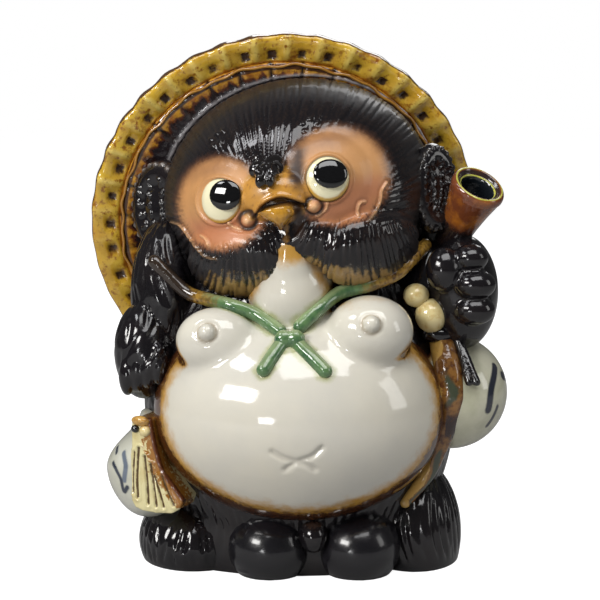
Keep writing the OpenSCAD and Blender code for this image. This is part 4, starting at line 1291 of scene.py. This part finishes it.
# Book tie: a gold cap over the top of the pages, with a black thread lump and a cream toggle below it.
page_skin = skin_of(pages)
cap_glaze = Glaze("cap_glaze", (196, 152, 78), rough=0.08, coat=0.7)
cap_glaze.drift((120, 76, 34), 300, 0.5, 0.7).ripple(300, 0.0004)
for name, node_spot, half, glaze, slot in (
        ("book_cap", (-0.0768, 0.0652), (0.0046, 0.0030, 0.0024), cap_glaze, "brown_glaze"),
        ("book_tie", (-0.0793, 0.0614), (0.0021, 0.0018, 0.0019), knot_glaze, "nose_glaze"),
        ("book_toggle", (-0.0747, 0.0603), (0.0028, 0.0022, 0.0026), bead_glaze, "cream_glaze")):
    spot, normal = seen(page_skin, *node_spot)
    lump = fuse(name, [clay_ball(facing(spot, normal), half, 5)], 0.0004, 2)
    write_masks(lump, seat=0)
    set_down(lump, glaze, slot, name)

# Feet: two furred lumps under the hem. The left one is scored with a few short strokes of a stick, and
# the right one with long grooves that flow down from the hip.
foot_left_middle = on_ball(skirt_middle, skirt_half, -74.5, -6.5, -0.018)
foot_right_middle = on_ball(skirt_middle, skirt_half, 76, -2.5, -0.0145)
foot_grain = 0.0009


def pressed_foot(name, middle, half, radius):
    """A foot that stands on the floor, with its points and how far round it each of them lies."""
    foot = fuse(name, [clay_ball(at(middle), half)], foot_grain, 3)
    stand(foot)
    return foot, points_of(foot), round_about(points_of(foot), middle, radius)


foot, spots, around = pressed_foot("foot_left", foot_left_middle, (0.028, 0.034, 0.024), 0.028)
marks = comb_marks(around, spots[:, 2] + 0.3 * around, 0.0048, 0.012, 0.16)
marks *= soft_step(0.001, 0.006, spots[:, 2]) * soft_step(0.024, 0.016, spots[:, 2])
raise_by(foot, -0.0013 * marks)
write_masks(foot, worn=0)
set_down(foot, fur_glaze, "fur_glaze", "foot_left")

foot, spots, around = pressed_foot("foot_right", foot_right_middle, (0.024, 0.034, 0.036), 0.026)
bend = 0.004 * np.sin(spots[:, 2] * 70)
marks = comb_marks(around + bend, spots[:, 2], 0.0042, 0.034, 0.20)
marks *= soft_step(0.002, 0.010, spots[:, 2])
raise_by(foot, -0.0014 * marks)
write_masks(foot, worn=0.3 * soft_step(0.02, 0.04, spots[:, 2]) * (1 - marks))
set_down(foot, fur_glaze, "fur_glaze", "foot_right")

# Pouches: two smooth round lumps between the feet with a small bump above their join, in a black glaze
# that has dried satin. A thin line is raised along the left one's outer side.
rim_line = [(-0.0384, 0.0129), (-0.0412, 0.0052), (-0.0390, -0.0030), (-0.0335, -0.0080), (-0.0260, -0.0100)]
pouch_glaze = Glaze("pouch_glaze", (20, 19, 23), rough=0.24, coat=0.35)
pouch_glaze.drift((28, 26, 30), 60, 0.45, 0.75).ripple(180, 0.0002)
for name, lon, lat, out in (("pouch_left", -13.5, -2, -0.010), ("pouch_right", 25.5, -2, -0.007)):
    pouch_middle = on_ball(skirt_middle, skirt_half, lon, lat, out)
    pouch = fuse(name, [clay_ball(at(pouch_middle), (0.020, 0.022, 0.019))], 0.0008, 3)
    stand(pouch)
    if name == "pouch_left":
        x, z = sight(points_of(pouch))
        clear = soft_step(0.0010, 0.0040, points_of(pouch)[:, 2])
        raise_by(pouch, 0.0006 * hump(line_gap(np.stack([x, z], 1), rim_line), 0.0006) * clear)
    set_down(pouch, pouch_glaze, "pouch_glaze", name)
bump_middle = on_ball(skirt_middle, skirt_half, 5, 5.5, 0.0005)
bump = fuse("pouch_bump", [clay_ball(at(bump_middle), (0.007, 0.009, 0.008), 5)], 0.0006, 3)
write_masks(bump, worn=0.9 * soft_step(0.3, 0.9, normals_of(bump)[:, 2]))
set_down(bump, fur_glaze, "fur_glaze", "pouch_bump")

# Tail: a plump combed lump against the back, at the hem. The photograph doesn't show it.
tail_place = at(on_body(166, -24, 0.004), (0, -18, 0))
tail = fuse("tail", [clay_ball(tail_place, (0.017, 0.014, 0.030))], 0.0009, 3)
stand(tail)
spots = points_of(tail)
around = np.arctan2(spots[:, 0] - tail_place.translation.x, spots[:, 1] - 0.03) * 0.016
marks = comb_marks(around + 0.003 * np.sin(spots[:, 2] * 60), spots[:, 2], 0.0036, 0.018)
raise_by(tail, -0.0011 * marks * soft_step(0.001, 0.008, spots[:, 2]))
write_masks(tail, worn=0.3 * (1 - marks))
set_down(tail, fur_glaze, "fur_glaze", "tail")

# Floor slab: the unglazed foot of the figure, wiped clean before firing, in buff stoneware.
clay_glaze = Glaze("bare_clay", (196, 172, 142), rough=0.75, coat=0.0)
clay_glaze.drift((170, 140, 110), 120, 0.4, 0.7).ripple(900, 0.0003)
slab = bpy.data.objects["floor_slab"]
slab.data.materials.clear()
slab.data.materials.append(clay_glaze.material)

# Floor and light: a large pale sheet, a window-like softbox at the front left, a broad one above the
# front, and weaker ones for the forehead, the eyes, the right side and the back. The sheet and the room
# are white to the camera and dim to the glaze.
bpy.ops.object.select_all(action="DESELECT")
bpy.ops.mesh.primitive_plane_add(size=8.0, location=(0, 0, 0))
floor_sheet = bpy.context.object
sheet_glow_level = 0.96
room_level = 0.08
floor_sheet.name = floor_sheet.data.name = "floor_sheet"
sheet_glaze = Glaze("floor_sheet", (168, 168, 168), rough=0.9, coat=0.0)
sheet_glaze.drift((164, 164, 165), 3, 0.3, 0.7)
sheet_path = sheet_glaze.nodes.new("ShaderNodeLightPath")
sheet_glow = sheet_glaze.sum("MULTIPLY", sheet_path.outputs["Is Camera Ray"], sheet_glow_level)
sheet_glaze.links.new(sheet_glow, sheet_glaze.shader.inputs["Emission Strength"])
sheet_glaze.shader.inputs["Emission Color"].default_value = (1.0, 1.0, 1.0, 1.0)
floor_sheet.data.materials.append(sheet_glaze.material)

lights = [
    ("key_light", (-0.95, -0.95, 0.75), (0, 0, 0.13), 0.62, 0.34, 14.0, (1.0, 0.98, 0.95)),
    ("top_light", (0.15, -0.55, 1.15), (0, 0, 0.12), 0.90, 0.60, 8.0, (1.0, 1.0, 1.0)),
    ("sheen_light", (-0.62, -0.28, 0.98), (-0.02, 0, 0.18), 0.34, 0.24, 2.2, (0.97, 0.98, 1.0)),
    ("low_light", (-0.42, -1.05, 0.10), (0, 0, 0.15), 0.16, 0.10, 0.9, (1.0, 1.0, 1.0)),
    ("side_light", (1.10, -0.35, 0.50), (0, 0, 0.10), 0.30, 0.60, 1.5, (1.0, 0.99, 0.97)),
    ("back_light", (0.20, 1.10, 0.90), (0, 0, 0.12), 0.80, 0.60, 5.0, (1.0, 1.0, 1.0)),
]
for name, place, aim, wide, high, power, tint in lights:
    lamp = bpy.data.lights.new(name, "AREA")
    lamp.shape = "RECTANGLE"
    lamp.size = wide
    lamp.size_y = high
    lamp.energy = power
    lamp.color = tint
    box = bpy.data.objects.new(name, lamp)
    bpy.context.scene.collection.objects.link(box)
    box.location = place
    box.rotation_euler = (Vector(aim) - Vector(place)).to_track_quat("-Z", "Y").to_euler()
bpy.context.scene.view_settings.view_transform = "Standard"
world = bpy.data.worlds.new("room")
bpy.context.scene.world = world
world.use_nodes = True
nodes = world.node_tree.nodes
path = nodes.new("ShaderNodeLightPath")
level = nodes.new("ShaderNodeMapRange")
level.inputs["To Min"].default_value = room_level
level.inputs["To Max"].default_value = 1.0
world.node_tree.links.new(path.outputs["Is Camera Ray"], level.inputs["Value"])
world.node_tree.links.new(level.outputs["Result"], nodes["Background"].inputs["Strength"])
nodes["Background"].inputs["Color"].default_value = (1.0, 1.0, 1.0, 1.0)

# Camera: it stands where the photograph was taken from, a little above the figure's middle.
camera_target = Vector((0.0, 0.0, 0.124))
lens = bpy.data.cameras.new("camera")
lens.lens = 113.2
lens.sensor_width = 36.0
camera = bpy.data.objects.new("camera", lens)
bpy.context.scene.collection.objects.link(camera)
camera.location = eye_point
camera.rotation_euler = (camera_target - eye_point).to_track_quat("-Z", "Y").to_euler()
bpy.context.scene.camera = camera
